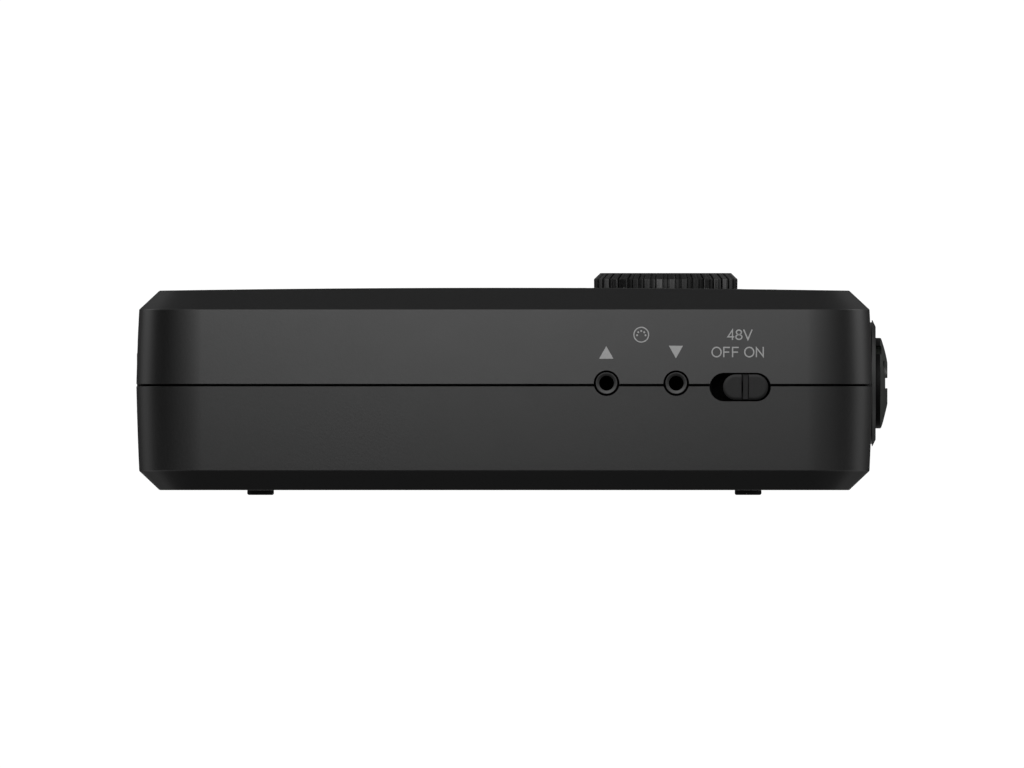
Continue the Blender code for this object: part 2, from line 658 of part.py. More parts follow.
def line_jacks(looks):
    for name, y in LINE_JACKS:
        centre = (0, y, BIG_JACK_Z)
        outside = [(5.5 * MM, 60 * MM), (5.5 * MM, 64.5 * MM), (5.1 * MM, 64.9 * MM)]
        nose = turned([(0, 60 * MM), *outside, (0, 64.9 * MM)], 20)
        jack = place(name, nose, looks["black"], centre, MINUS_X)
        half = Vector((13.1, 7.2, 6.8)) * MM
        middle = Vector((-49.2 * MM, y, BIG_JACK_Z))
        join(jack, place(name + "_body", block(middle - half, middle + half)))
        cut(jack, place(name + "_bore", cylinder(3.3 * MM, 37 * MM, 70 * MM), at=centre, facing=MINUS_X))


def phones_jack(looks):
    centre = (0, PHONES_Y, BIG_JACK_Z)
    outside = [(3 * MM, 60 * MM), (3 * MM, 64.6 * MM), (2.7 * MM, 64.9 * MM)]
    nose = turned([(0, 60 * MM), *outside, (0, 64.9 * MM)], 16)
    jack = place("phones_jack", nose, looks["black"], centre, MINUS_X)
    half = Vector((7.0, 4.0, 2.35)) * MM
    middle = Vector((-55.6 * MM, PHONES_Y, BIG_JACK_Z))
    join(jack, place("phones_body", block(middle - half, middle + half)))
    cut(jack, place("phones_bore", cylinder(1.8 * MM, 50 * MM, 70 * MM), at=centre, facing=MINUS_X))


def usb_outline(grow, low, high):
    """A slot shape standing along Y once it faces -X."""
    points = [(y, x) for x, y in stadium(8.94 * MM, 3.26 * MM)(-grow)]
    return closed_prism(points[::-1], low, high)


def usb_port(looks):
    centre = (-64.7 * MM, USB_Y, USB_Z)
    shell = place("usb_shell", usb_outline(0, -8.2 * MM, 0), looks["tin"], centre, MINUS_X)
    cut(shell, place("usb_mouth", usb_outline(-0.3 * MM, -7.8 * MM, MM), at=centre, facing=MINUS_X))
    half = Vector((3.5, 3.3, 0.35)) * MM
    middle = Vector((-60.7 * MM, USB_Y, USB_Z))
    place("usb_tongue", block(middle - half, middle + half), looks["black"])


# ------------------------------------------------------------------- gain controls


def rib_outline(radius):
    """A toothed circle: each rib is as wide as the gap after it."""
    points = []
    pitch = 2 * math.pi / KNOB_RIBS
    for i in range(KNOB_RIBS):
        root = radius - RIB_DEPTH
        for share, reach in ((0, radius), (0.5, radius), (0.54, root), (0.96, root)):
            angle = (i + share + 0.25) * pitch
            points.append((reach * math.cos(angle), reach * math.sin(angle)))
    return points


def gain_controls(looks):
    for number, y in ((1, -CHANNEL_Y), (2, CHANNEL_Y)):
        levels = [(KNOB_RADIUS, KNOB_LOW_Z), (KNOB_RADIUS, KNOB_EDGE_Z)]
        levels.append((KNOB_RADIUS - KNOB_BEVEL, KNOB_TOP_Z))
        rings = [[(px, py, height) for px, py in rib_outline(radius)] for radius, height in levels]
        knob = loft(rings, flat_ends=True)
        knob = place(f"gain_knob_{number}", knob, looks["black"], (KNOB_X, y, 0))
        socket = cylinder(SHAFT_RADIUS + FIT, 30 * MM, 38.2 * MM)
        pointer = block((7 * MM, -0.6 * MM, KNOB_TOP_Z - 0.3 * MM), (20 * MM, 0.6 * MM, 41 * MM))
        pointer = place("pointer", pointer, at=(KNOB_X, y, 0))
        pointer.rotation_euler.z = math.pi
        cut(knob, place("knob_socket", socket, at=(KNOB_X, y, 0)), pointer)
        shaft = cylinder(SHAFT_RADIUS, 26 * MM, 38 * MM)
        place(f"gain_shaft_{number}", shaft, looks["tin"], (KNOB_X, y, 0))
        half = Vector((4.6, 5.0, 3.3)) * MM
        pot = place(f"gain_pot_{number}", block(-half, half), looks["tin"], (KNOB_X, y, 27.3 * MM))
        join(pot, place(f"gain_bush_{number}", cylinder(4.2 * MM, 30 * MM, 33.8 * MM), at=(KNOB_X, y, 0)))
        hole = cylinder(SHAFT_RADIUS + FIT, 25.7 * MM, 36 * MM)
        cut(pot, place("pot_hole", hole, at=(KNOB_X, y, 0)))


def lamps(look):
    """Light guides from the board up to the roof."""
    for name, x, y in LAMPS:
        top = roof_height(x) - 0.05 * MM
        place(name, cylinder(1.0 * MM, 27.2 * MM, top, 12), look, (x, y, 0))


# ------------------------------------------------------------------------ assembly

clear_scene()

ASSEMBLY = bpy.data.objects.new("assembly", None)
bpy.context.scene.collection.objects.link(ASSEMBLY)
back_reach = WHEEL_Y + WHEEL_RADIUS
ASSEMBLY.location = (
    (CASE_LENGTH / 2 - INSERT_NOSE_X) / 2,
    (CASE_WIDTH / 2 - back_reach) / 2,
    0,
)
OPENINGS = side_openings()

LOOKS = {
    "case": material("case_plastic", (0.035, 0.035, 0.036), 0.55),
    "black": material("black_plastic", (0.02, 0.02, 0.021), 0.4),
    "insert": material("insert_plastic", (0.035, 0.038, 0.034), 0.5),
    "rubber": material("foot_rubber", (0.012, 0.012, 0.012), 0.8),
    "tin": material("tinned_steel", (0.6, 0.6, 0.6), 0.3, 1.0),
    "nickel": material("nickel_spring", (0.7, 0.68, 0.62), 0.25, 1.0),
    "board": material("board_green", (0.02, 0.12, 0.05), 0.4),
    "lamp": material("lamp_guide", (0.75, 0.77, 0.75), 0.3),
}

top_shell(LOOKS["case"])
bottom_shell(LOOKS["case"])
battery_door(LOOKS["case"])
battery_tray(LOOKS["black"])
battery_contacts(LOOKS["nickel"])
feet(LOOKS["rubber"])
case_screws(LOOKS["tin"])
board_screws(LOOKS["tin"])
main_board(LOOKS["board"])
input_board(LOOKS["board"])
board_blocks(LOOKS)
combo_inputs(LOOKS)
data_jacks(LOOKS["black"])
slide_switch("phantom", PHANTOM_X, MINUS_Y, 1, LOOKS)
slide_switch("monitor", MONITOR_X, PLUS_Y, 1, LOOKS)
volume_wheels(LOOKS)
power_inlet(LOOKS)
line_jacks(LOOKS)
phones_jack(LOOKS)
usb_port(LOOKS)
gain_controls(LOOKS)
lamps(LOOKS["lamp"])
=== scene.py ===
"""Looks for the portable audio interface: fine shells, controls, sockets, prints and materials.

Shapes are drawn in metres in the case's own frame, whose origin lies under the middle of the case.
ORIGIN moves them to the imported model's frame.
"""

from math import cos, pi, radians, sin, tan

import bmesh
import bpy
from mathutils import Matrix, Vector


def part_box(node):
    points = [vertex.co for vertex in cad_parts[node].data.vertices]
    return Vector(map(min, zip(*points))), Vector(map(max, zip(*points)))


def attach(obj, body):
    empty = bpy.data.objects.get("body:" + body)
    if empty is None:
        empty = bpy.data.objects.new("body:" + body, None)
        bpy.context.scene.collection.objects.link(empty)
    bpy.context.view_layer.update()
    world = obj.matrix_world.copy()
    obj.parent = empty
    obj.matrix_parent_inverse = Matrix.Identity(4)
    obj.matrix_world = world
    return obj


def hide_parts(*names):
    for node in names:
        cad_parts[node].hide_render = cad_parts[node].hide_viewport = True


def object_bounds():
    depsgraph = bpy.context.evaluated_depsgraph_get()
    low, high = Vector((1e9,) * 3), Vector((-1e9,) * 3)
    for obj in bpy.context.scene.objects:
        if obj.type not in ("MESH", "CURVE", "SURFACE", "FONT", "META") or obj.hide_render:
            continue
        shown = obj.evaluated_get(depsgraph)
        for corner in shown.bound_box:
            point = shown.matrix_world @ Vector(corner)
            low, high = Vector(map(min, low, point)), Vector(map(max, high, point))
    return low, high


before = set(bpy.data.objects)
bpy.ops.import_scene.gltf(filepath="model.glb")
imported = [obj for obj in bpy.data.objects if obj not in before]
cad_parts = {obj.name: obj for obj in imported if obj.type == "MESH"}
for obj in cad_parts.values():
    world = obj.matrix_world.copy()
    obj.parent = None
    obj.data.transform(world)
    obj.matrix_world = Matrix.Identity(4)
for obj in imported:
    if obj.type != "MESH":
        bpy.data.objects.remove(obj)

CAD_BOUNDS = [list(corner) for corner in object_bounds()]
MM = 0.001
CASE_LOW, CASE_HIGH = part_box("top_shell")
ORIGIN = Vector(((CASE_LOW.x + CASE_HIGH.x) / 2, (CASE_LOW.y + CASE_HIGH.y) / 2, 0))


def mm(*values):
    """Millimetres to metres."""
    return tuple(value * MM for value in values)


# The case's outline at the parting line, and its levels
LENGTH, WIDTH, CORNER = mm(130, 80, 11.5)
FLOOR_Z, LOWER_Z, PARTING_Z, UPPER_Z, ROOF_Z = mm(0.85, 4.25, 19.39, 32.75, 36.1)
HALF_GAP = 0.21 * MM
# How far the walls lean in, the chamfers reach in and the roof rises
DRAFT, SLOPE, CROWN = mm(0.5, 4.1, 0.5)
CORNER_STEPS, ROOF_STEPS = 18, 40

# Controls and sockets, which stand where part.py puts them
CHANNELS = {1: -16.5 * MM, 2: 16.5 * MM}
KNOB_X, KNOB_RADIUS, KNOB_TOP = mm(28.5, 12.7, 39.2)
RECESS_RADIUS, RECESS_Z = mm(13.0, 35.7)
SWITCH_Z, SLOT_LENGTH, SLOT_HEIGHT = mm(19.05, 10.7, 5)
PHANTOM_X, MONITOR_X = mm(41.65, 46)
SLIDER_FACE, SLIDER_REST = mm(39.8, 0.95)
WHEELS = {"output_wheel": -42 * MM, "phones_wheel": -20 * MM}
WHEEL_Y, WHEEL_Z, WHEEL_RADIUS = mm(33.3, 20, 8)
SOCKET_Z = 19.75 * MM
COLLAR_RADIUS, SOCKET_RADIUS = mm(11.15, 9.55)
PLUG_RADIUS, PLUG_RIM, BORE_RADIUS, PIN_CIRCLE = mm(8, 66.5, 3.35, 5.65)
DATA_SOCKETS = {"midi_out_jack": 18.05 * MM, "midi_in_jack": 30.35 * MM}
LINE_JACKS = {"line_jack_right": -20 * MM, "line_jack_left": -3 * MM}
PHONES_Y = 12 * MM
PORT_Y, PORT_Z, PORT_LENGTH, PORT_HEIGHT = mm(22.5, 20.3, 8.94, 3.26)
POWER_X, POWER_Z = mm(29.7, 18)
LAMPS = {
    "signal_lamp_1": (9 * MM, CHANNELS[1]),
    "signal_lamp_2": (9 * MM, CHANNELS[2]),
    "phantom_lamp": mm(9, 0),
    "power_lamp": mm(-50, -6),
    "host_lamp": mm(-50, 0),
    "data_lamp": mm(-50, 6),
}

# The underside
SCREWS = [mm(x * 54.5, y * 30.5) for x in (-1, 1) for y in (-1, 1)]
FEET = {
    f"foot_{row}_{side}": mm(x, y)
    for row, y in (("front", -26), ("back", 26))
    for side, x in (("left", -43.05), ("right", 43.05))
}
FOOT_LENGTH, FOOT_WIDTH = mm(12, 4.8)
DOOR_LEFT, DOOR_RIGHT, DOOR_TOP, DOOR_GAP = mm(-34.5, 24.5, 2.3, 0.12)
DOOR_MIDDLE = -5 * MM

TURNS = {
    "+X": Matrix.Rotation(pi / 2, 4, "Y"),
    "-X": Matrix.Rotation(-pi / 2, 4, "Y"),
    "+Y": Matrix.Rotation(-pi / 2, 4, "X"),
    "-Y": Matrix.Rotation(pi / 2, 4, "X"),
    "+Z": Matrix.Identity(4),
}


# ---- materials


class Nodes:
    """A short way to build a material's node tree."""

    def __init__(self, name):
        self.material = bpy.data.materials.new(name)
        self.material.use_nodes = True
        self.tree = self.material.node_tree
        self.shader = self.tree.nodes["Principled BSDF"]
        self.place = self.add("ShaderNodeTexCoord").outputs["Object"]

    def add(self, kind, **values):
        node = self.tree.nodes.new(kind)
        for key, value in values.items():
            setattr(node, key, value)
        return node

    def link(self, output, target):
        self.tree.links.new(output, target)

    def noise(self, size, detail=3.0, stretch=(1, 1, 1)):
        """Blobs of about size millimetres, longer along an axis with a low stretch."""
        mapping = self.add("ShaderNodeMapping")
        mapping.inputs["Scale"].default_value = stretch
        self.link(self.place, mapping.inputs["Vector"])
        node = self.add("ShaderNodeTexNoise")
        node.inputs["Scale"].default_value = 1 / (size * MM)
        node.inputs["Detail"].default_value = detail
        self.link(mapping.outputs["Vector"], node.inputs["Vector"])
        return node.outputs["Fac"]

    def cells(self, size):
        node = self.add("ShaderNodeTexVoronoi")
        node.inputs["Scale"].default_value = 1 / (size * MM)
        self.link(self.place, node.inputs["Vector"])
        return node.outputs["Distance"]

    def ramp(self, factor, low, high, start=0.3, end=0.7):
        """Maps a factor to colours or grey values between two stops."""
        node = self.add("ShaderNodeValToRGB")
        first, last = node.color_ramp.elements
        first.position, last.position = start, end
        first.color = (*low, 1) if isinstance(low, tuple) else (low, low, low, 1)
        last.color = (*high, 1) if isinstance(high, tuple) else (high, high, high, 1)
        self.link(factor, node.inputs["Fac"])
        return node.outputs["Color"]

    def multiply(self, first, second):
        node = self.add("ShaderNodeMix", data_type="RGBA", blend_type="MULTIPLY")
        node.inputs["Factor"].default_value = 1.0
        self.link(first, node.inputs["A"])
        self.link(second, node.inputs["B"])
        return node.outputs["Result"]

    def bump(self, *heights):
        """Bumps of (height, depth in millimetres), one on top of the other."""
        normal = None
        for height, depth in heights:
            node = self.add("ShaderNodeBump")
            node.inputs["Distance"].default_value = depth * MM
            self.link(height, node.inputs["Height"])
            if normal:
                self.link(normal, node.inputs["Normal"])
            normal = node.outputs["Normal"]
        self.link(normal, self.shader.inputs["Normal"])

    def color(self, output):
        self.link(output, self.shader.inputs["Base Color"])

    def roughness(self, output):
        self.link(output, self.shader.inputs["Roughness"])


def shade(color, factor):
    return tuple(c * factor for c in color)


def speckled(name, color, gloss, relief):
    """Noisy colour and gloss from (size, detail, low, high), and relief from (size, detail, depth)."""
    nodes = Nodes(name)
    nodes.color(nodes.ramp(nodes.noise(*color[:2]), *color[2:]))
    nodes.roughness(nodes.ramp(nodes.noise(*gloss[:2]), *gloss[2:]))
    nodes.bump((nodes.noise(*relief[:2]), relief[2]))
    return nodes


def moulded(name, color, roughness, grain=0.22, depth=0.010, specular=0.5):
    """Moulded plastic with a fine spark texture, faint flow clouds and slightly uneven gloss."""
    nodes = Nodes(name)
    speckle = nodes.ramp(nodes.noise(grain, 4), shade(color, 0.86), shade(color, 1.16))
    clouds = nodes.ramp(nodes.noise(14, 2), 0.95, 1.0, 0.2, 0.8)
    nodes.color(nodes.multiply(speckle, clouds))
    gloss = nodes.ramp(nodes.noise(6), roughness - 0.012, roughness + 0.012, 0.2, 0.8)
    nodes.roughness(gloss)
    nodes.bump((nodes.noise(grain, 4), depth), (nodes.cells(2.2 * grain), depth * 0.5))
    nodes.shader.inputs["Specular IOR Level"].default_value = specular
    return nodes.material


def rubber(name):
    color = (0.5, 5, (0.003, 0.003, 0.003), (0.007, 0.007, 0.0068))
    nodes = speckled(name, color, (1.5, 3, 0.72, 0.9), (0.3, 5, 0.02))
    nodes.shader.inputs["Specular IOR Level"].default_value = 0.2
    return nodes.material


def metal(name, color, roughness, brushed=(1, 1, 1), grain=0.3):
    """Metal with a drawn or cast grain and slight staining."""
    nodes = Nodes(name)
    grained = nodes.noise(grain, 5, brushed)
    stain = nodes.ramp(nodes.noise(2.5, 4), 0.8, 1.0)
    nodes.color(nodes.multiply(nodes.ramp(grained, shade(color, 0.85), color), stain))
    nodes.roughness(nodes.ramp(grained, roughness - 0.07, roughness + 0.08))
    nodes.bump((grained, 0.004))
    nodes.shader.inputs["Metallic"].default_value = 1.0
    return nodes.material


def ink(name, color):
    """Pad-printed ink, slightly thin in spots."""
    thin = (0.12, 4, shade(color, 0.86), color, 0.3, 0.6)
    return speckled(name, thin, (0.3, 3, 0.5, 0.62), (0.1, 3, 0.003)).material


def circuit_board(name):
    """Solder mask over faint copper tracks."""
    nodes = Nodes(name)
    brick = nodes.add("ShaderNodeTexBrick", offset=0.37, squash=0.7)
    brick.inputs["Scale"].default_value = 1 / (9 * MM)
    brick.inputs["Mortar Size"].default_value = 0.035
    brick.inputs["Color1"].default_value = (0.008, 0.075, 0.03, 1)
    brick.inputs["Color2"].default_value = (0.01, 0.09, 0.038, 1)
    brick.inputs["Mortar"].default_value = (0.02, 0.16, 0.07, 1)
    nodes.link(nodes.place, brick.inputs["Vector"])
    stain = nodes.ramp(nodes.noise(3, 4), 0.75, 1.0)
    nodes.color(nodes.multiply(brick.outputs["Color"], stain))
    nodes.roughness(nodes.ramp(nodes.noise(1.2), 0.24, 0.36))
    nodes.bump((brick.outputs["Fac"], 0.03))
    return nodes.material


def frosted(name):
    color = (0.4, 3, (0.62, 0.64, 0.62), (0.75, 0.77, 0.75))
    nodes = speckled(name, color, (0.3, 3, 0.3, 0.42), (0.15, 3, 0.005))
    nodes.shader.inputs["Subsurface Weight"].default_value = 0.3
    nodes.shader.inputs["Subsurface Scale"].default_value = 1 * MM
    return nodes.material


def chip_epoxy(name):
    color = (0.15, 4, (0.012, 0.012, 0.013), (0.03, 0.03, 0.031))
    return speckled(name, color, (0.5, 3, 0.5, 0.65), (0.1, 4, 0.008)).material


LOOKS = {
    "case": moulded("case_texture", (0.004, 0.004, 0.0041), 0.33, 0.22, 0.006),
    "knob": moulded("knob_texture", (0.005, 0.005, 0.005), 0.27, 0.12, 0.003, 0.55),
    "grip": moulded("grip_texture", (0.005, 0.005, 0.005), 0.33, 0.12, 0.008, 0.3),
    "switch": moulded("switch_texture", (0.004, 0.004, 0.0041), 0.4, 0.14, 0.005, 0.25),
    "socket": moulded("socket_texture", (0.003, 0.003, 0.0031), 0.3, 0.1, 0.003),
    "insert": moulded("insert_texture", (0.0105, 0.0135, 0.0098), 0.42, 0.2, 0.006),
    "tray": moulded("tray_texture", (0.012, 0.012, 0.0122), 0.5, 0.35, 0.012),
    "sleeve": moulded("sleeve_texture", (0.003, 0.003, 0.003), 0.5, 0.12, 0.006, 0.12),
    # Painted shade: near-black, matte stuff with little gloss, put behind slots and in the gaps round
    # sockets where only shadow would be seen
    "shade": moulded("painted_shade_black", (0.0022, 0.0022, 0.0022), 0.9, 0.1, 0.02, 0.06),
    "rubber": rubber("foot_rubber"),
    "steel": metal("tinned_steel", (0.56, 0.56, 0.55), 0.32),
    "screw": metal("black_screw", (0.055, 0.054, 0.056), 0.34, grain=0.15),
    "nickel": metal("nickel_spring", (0.66, 0.63, 0.57), 0.24, (1, 1, 0.15), 0.1),
    "gold": metal("contact_gold", (0.78, 0.56, 0.22), 0.28, grain=0.15),
    "board": circuit_board("solder_mask"),
    "epoxy": chip_epoxy("chip_epoxy"),
    "lamp": frosted("lamp_guide"),
    "print": ink("grey_print", (0.335, 0.335, 0.335)),
    "pointer": ink("pointer_print", (0.62, 0.62, 0.61)),
}


# ---- shape helpers


def polar(radius, angle, middle=(0, 0)):
    """The point at an angle round a middle."""
    return (middle[0] + radius * cos(angle), middle[1] + radius * sin(angle))


def soften(profile, steps=4):
    """Rounds the corners of a profile of (a, b) or (a, b, radius) points."""
    points = []
    for i, (a, b, *rest) in enumerate(profile):
        here = Vector((a, b))
        if not rest or i in (0, len(profile) - 1):
            points.append(here)
            continue
        radius = rest[0]
        back = (Vector(profile[i - 1][:2]) - here).normalized()
        ahead = (Vector(profile[i + 1][:2]) - here).normalized()
        half = back.angle(ahead) / 2
        centre = here + (back + ahead).normalized() * radius / sin(half)
        start = here + back * radius / tan(half) - centre
        end = here + ahead * radius / tan(half) - centre
        for k in range(steps + 1):
            points.append(centre + start.lerp(end, k / steps).normalized() * radius)
    return [tuple(p) for p in points]


def loft(rings, strips=False, bm=None):
    """A closed surface through rings of equal counts, with each end one face or paired strips."""
    bm = bm or bmesh.new()
    loops = [[bm.verts.new(point) for point in ring] for ring in rings]
    count = len(loops[0])
    made = []
    for lower, upper in zip(loops, loops[1:]):
        for i in range(count):
            j = (i + 1) % count
            made.append(bm.faces.new((lower[i], lower[j], upper[j], upper[i])))
    for loop in (loops[0], loops[-1]):
        if strips:
            for i in range(count // 2 - 1):
                corners = (loop[i], loop[i + 1], loop[count - 2 - i], loop[count - 1 - i])
                made.append(bm.faces.new(corners))
        else:
            made.append(bm.faces.new(loop))
    bmesh.ops.recalc_face_normals(bm, faces=made)
    return bm


def turned(profile, steps=64, closed=True):
    """A solid about Z from (radius, height) points, a closed loop or a line from axis to axis."""
    bm = bmesh.new()
    angles = [2 * pi * i / steps for i in range(steps)]
    rings = []
    for radius, height in profile:
        if radius < 1e-9:
            rings.append([bm.verts.new((0, 0, height))])
        else:
            ring = [(*polar(radius, a), height) for a in angles]
            rings.append([bm.verts.new(point) for point in ring])
    pairs = list(zip(rings, rings[1:])) + ([(rings[-1], rings[0])] if closed else [])
    made = []
    for first, second in pairs:
        for i in range(steps):
            j = (i + 1) % steps
            corners = [first[i % len(first)], first[j % len(first)]]
            corners += [second[j % len(second)], second[i % len(second)]]
            made.append(bm.faces.new(list(dict.fromkeys(corners))))
    bmesh.ops.recalc_face_normals(bm, faces=made)
    return bm


def rod(radius, low, high, steps=48):
    return turned([(0, low), (radius, low), (radius, high), (0, high)], steps, False)


def box(low, high, edge=0.0):
    """A box between two corners, with its edges rounded."""
    low, high = Vector(low), Vector(high)
    bm = bmesh.new()
    bmesh.ops.create_cube(bm, size=1.0)
    for vert in bm.verts:
        vert.co = (low + high) / 2 + Vector(c * s for c, s in zip(vert.co, high - low))
    if edge:
        edges = bm.edges[:]
        bmesh.ops.bevel(bm, geom=edges, offset=edge, segments=3, profile=0.5, affect="EDGES")
    return bm


def add(bm, part, at=(0, 0, 0), facing="+Z"):
    """Adds a solid to others, moved to its place."""
    moved(part, at, facing)
    mesh = bpy.data.meshes.new("part")
    part.to_mesh(mesh)
    part.free()
    bm.from_mesh(mesh)
    bpy.data.meshes.remove(mesh)
    return bm


def stadium(length, width, steps=16):
    """An outline function for a slot shape along X, grown by minus its inset."""

    def outline(inset=0.0):
        radius, reach = width / 2 - inset, (length - width) / 2
        points = []
        for start, middle in ((-pi / 2, reach), (pi / 2, -reach)):
            for i in range(steps + 1):
                points.append(polar(radius, start + pi * i / steps, (middle, 0)))
        return points

    return outline


def prism(outline, levels):
    """Stacks (inset, height) levels of an outline function."""
    return loft([[(x, y, height) for x, y in outline(inset)] for inset, height in levels])


def moved(bm, at=(0, 0, 0), facing="+Z"):
    bmesh.ops.transform(bm, matrix=Matrix.Translation(Vector(at)) @ TURNS[facing], verts=bm.verts)
    return bm


def raw(bm, name="tool"):
    mesh = bpy.data.meshes.new(name)
    bm.to_mesh(mesh)
    bm.free()
    obj = bpy.data.objects.new(name, mesh)
    bpy.context.scene.collection.objects.link(obj)
    return obj


def carve(obj, bm, operation="DIFFERENCE"):
    """Applies a boolean with the solids in bm to obj."""
    tool = raw(bm)
    modifier = obj.modifiers.new("carve", "BOOLEAN")
    modifier.operation, modifier.solver, modifier.object = operation, "EXACT", tool
    bpy.context.view_layer.update()
    done = bpy.data.meshes.new_from_object(obj.evaluated_get(bpy.context.evaluated_depsgraph_get()))
    obj.modifiers.clear()
    old, obj.data = obj.data, done
    bpy.data.meshes.remove(old)
    bpy.data.objects.remove(tool)


def finish(obj, name, look, body="case", slot="black_plastic", replaces=(), angle=32):
    """Shades a piece, moves it to the model's frame and puts it on its body."""
    obj.name = name
    mesh = obj.data
    mesh.materials.clear()
    mesh.materials.append(LOOKS[look])
    mesh.transform(Matrix.Translation(ORIGIN))
    mesh.shade_smooth()
    mesh.set_sharp_from_angle(angle=radians(angle))
    weighted = obj.modifiers.new("weighted_normals", "WEIGHTED_NORMAL")
    weighted.keep_sharp, weighted.weight = True, 90
    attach(obj, body)
    if replaces:
        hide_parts(*replaces)


def piece(name, bm, *facts, **more):
    """A finished piece from its mesh, with finish's own arguments."""
    finish(raw(bm, name), name, *facts, **more)


# ---- case


def wall_inset(z):
    """How far the drafted and slightly bulged wall is set in at a height."""
    edge = UPPER_Z if z >= PARTING_Z else LOWER_Z
    share = (z - PARTING_Z) / (edge - PARTING_Z)
    return DRAFT * (0.6 * share + 0.4 * share**2)


def wall_profile(start, end):
    """Points down a side wall between its chamfer and the parting line."""
    heights = [start + (end - start) * i / 8 for i in range(1, 8)]
    return [(wall_inset(z), z) for z in heights]


def roof_height(x):
    reach = LENGTH / 2 - SLOPE
    return ROOF_Z + CROWN * (1 - (x / reach) ** 2)


def case_ring(inset, z, crowned=False):
    """The case's outline set in by inset. The roof's crown fades out down the upper chamfer."""
    half_x, half_y, radius = LENGTH / 2 - inset, WIDTH / 2 - inset, CORNER - inset
    lower = []
    for start, middle in ((pi, radius - half_x), (1.5 * pi, half_x - radius)):
        for i in range(CORNER_STEPS + 1):
            angle = start + pi / 2 * i / CORNER_STEPS
            lower.append(polar(radius, angle, (middle, radius - half_y)))
    straight = 2 * (half_x - radius)
    lower[CORNER_STEPS + 1 : CORNER_STEPS + 1] = [
        (radius - half_x + straight * i / ROOF_STEPS, -half_y) for i in range(1, ROOF_STEPS)
    ]
    share = min(max((z - UPPER_Z) / (ROOF_Z - UPPER_Z), 0), 1) if crowned else 0
    outline = lower + [(x, -y) for x, y in reversed(lower)]
    return [(x, y, z + share * (roof_height(x) - ROOF_Z)) for x, y in outline]


def shell_body(outside, inside):
    """A shell from an outer profile that ends at its rim and an inner one that starts there."""
    rings = [case_ring(inset, z, True) for inset, z in soften(outside)]
    rings += [case_ring(inset, z) for inset, z in soften(inside)]
    return raw(loft(rings, strips=True))


def flared(radius, low, surface, top, flare=0.16 * MM, steps=64):
    """A round cutter that opens out where it leaves the wall, so that the hole's rim is broken."""
    side = [(radius, low), (radius, surface - flare), (radius + flare + top - surface, top)]
    return turned([(0, low), *side, (0, top)], steps, False)


def side_openings():
    """Every opening in the side walls, as one set of separate cutters."""
    tools = bmesh.new()
    for y in CHANNELS.values():
        hole = flared(COLLAR_RADIUS + 0.18 * MM, *mm(0, 7, 9, 0.1), 96)
        add(tools, hole, (58 * MM, y, SOCKET_Z), "+X")
    for x in DATA_SOCKETS.values():
        add(tools, flared(*mm(2.26, 0, 5, 6, 0.03)), (x, -35 * MM, SOCKET_Z), "-Y")
    for x, y, facing in ((PHANTOM_X, -35 * MM, "-Y"), (MONITOR_X, 35 * MM, "+Y")):
        levels = [(0, 0), mm(0, 4.9), mm(-0.9, 5.9)]
        add(tools, prism(stadium(SLOT_LENGTH, SLOT_HEIGHT), levels), (x, y, SWITCH_Z), facing)
    for y in LINE_JACKS.values():
        add(tools, flared(*mm(5.7, 0, 5, 6)), (-60 * MM, y, SOCKET_Z), "-X")
    add(tools, flared(*mm(3.25, 0, 5, 6)), (-60 * MM, PHONES_Y, SOCKET_Z), "-X")
    levels = [mm(-0.35, 0), mm(-0.35, 4.9), mm(-1.2, 5.8)]
    port = prism(upright(stadium(PORT_LENGTH, PORT_HEIGHT)), levels)
    add(tools, port, (-60 * MM, PORT_Y, PORT_Z), "-X")
    add(tools, flared(*mm(4.1, 0, 5, 6)), (POWER_X, 35 * MM, POWER_Z), "+Y")
    for x in WHEELS.values():
        levels = [(0, 0), mm(0, 9.9), mm(-0.9, 10.9)]
        add(tools, prism(rounded_rectangle(*mm(14, 3.8, 0.7)), levels), (x, 30 * MM, WHEEL_Z), "+Y")
    return tools


def upright(outline):
    """The same outline turned to run along its second axis."""
    return lambda inset=0.0: [(-y, x) for x, y in outline(inset)]


def rounded_rectangle(length, height, corner, steps=6):
    def outline(inset=0.0):
        radius = max(corner - inset, 0.05 * MM)
        reach_x, reach_y = length / 2 - inset - radius, height / 2 - inset - radius
        points = []
        for quarter, (sx, sy) in enumerate(((1, 1), (-1, 1), (-1, -1), (1, -1))):
            middle = (sx * reach_x, sy * reach_y)
            for i in range(steps + 1):
                points.append(polar(radius, pi / 2 * (quarter + i / steps), middle))
        return points

    return outline


def top_shell():
    rim = PARTING_Z + HALF_GAP
    outside = [(SLOPE + 1.2 * MM, ROOF_Z), (SLOPE, ROOF_Z, 0.45 * MM), (DRAFT, UPPER_Z, 0.22 * MM)]
    outside += wall_profile(UPPER_Z, rim) + [(0.0, rim, 0.05 * MM), (0.3 * MM, rim)]
    inside = [(0.75 * MM, rim), (0.75 * MM, rim + 1.3 * MM), (2 * MM, rim + 1.3 * MM)]
    inside += [mm(2.5, 32), mm(5, 34.2)]
    shell = shell_body(outside, inside)
    tools = side_openings()
    for y in CHANNELS.values():
        low, top = RECESS_Z, 37.5 * MM
        recess = [(0, low), (12.8 * MM, low), (RECESS_RADIUS, low + 0.2 * MM)]
        recess += [(RECESS_RADIUS, ROOF_Z), (14.1 * MM, top), (0, top)]
        add(tools, turned(recess, 128, False), (KNOB_X, y, 0))
    for x, y in LAMPS.values():
        hole = flared(1.12 * MM, 33 * MM, roof_height(x), 38 * MM, 0.12 * MM, 32)
        add(tools, hole, (x, y, 0))
    carve(shell, tools)
    holes = bmesh.new()
    for y in CHANNELS.values():
        add(holes, rod(*mm(3.6, 30, 36)), (KNOB_X, y, 0))
    carve(shell, holes)
    finish(shell, "shell_top", "case", "case", "case_plastic", ["top_shell"])


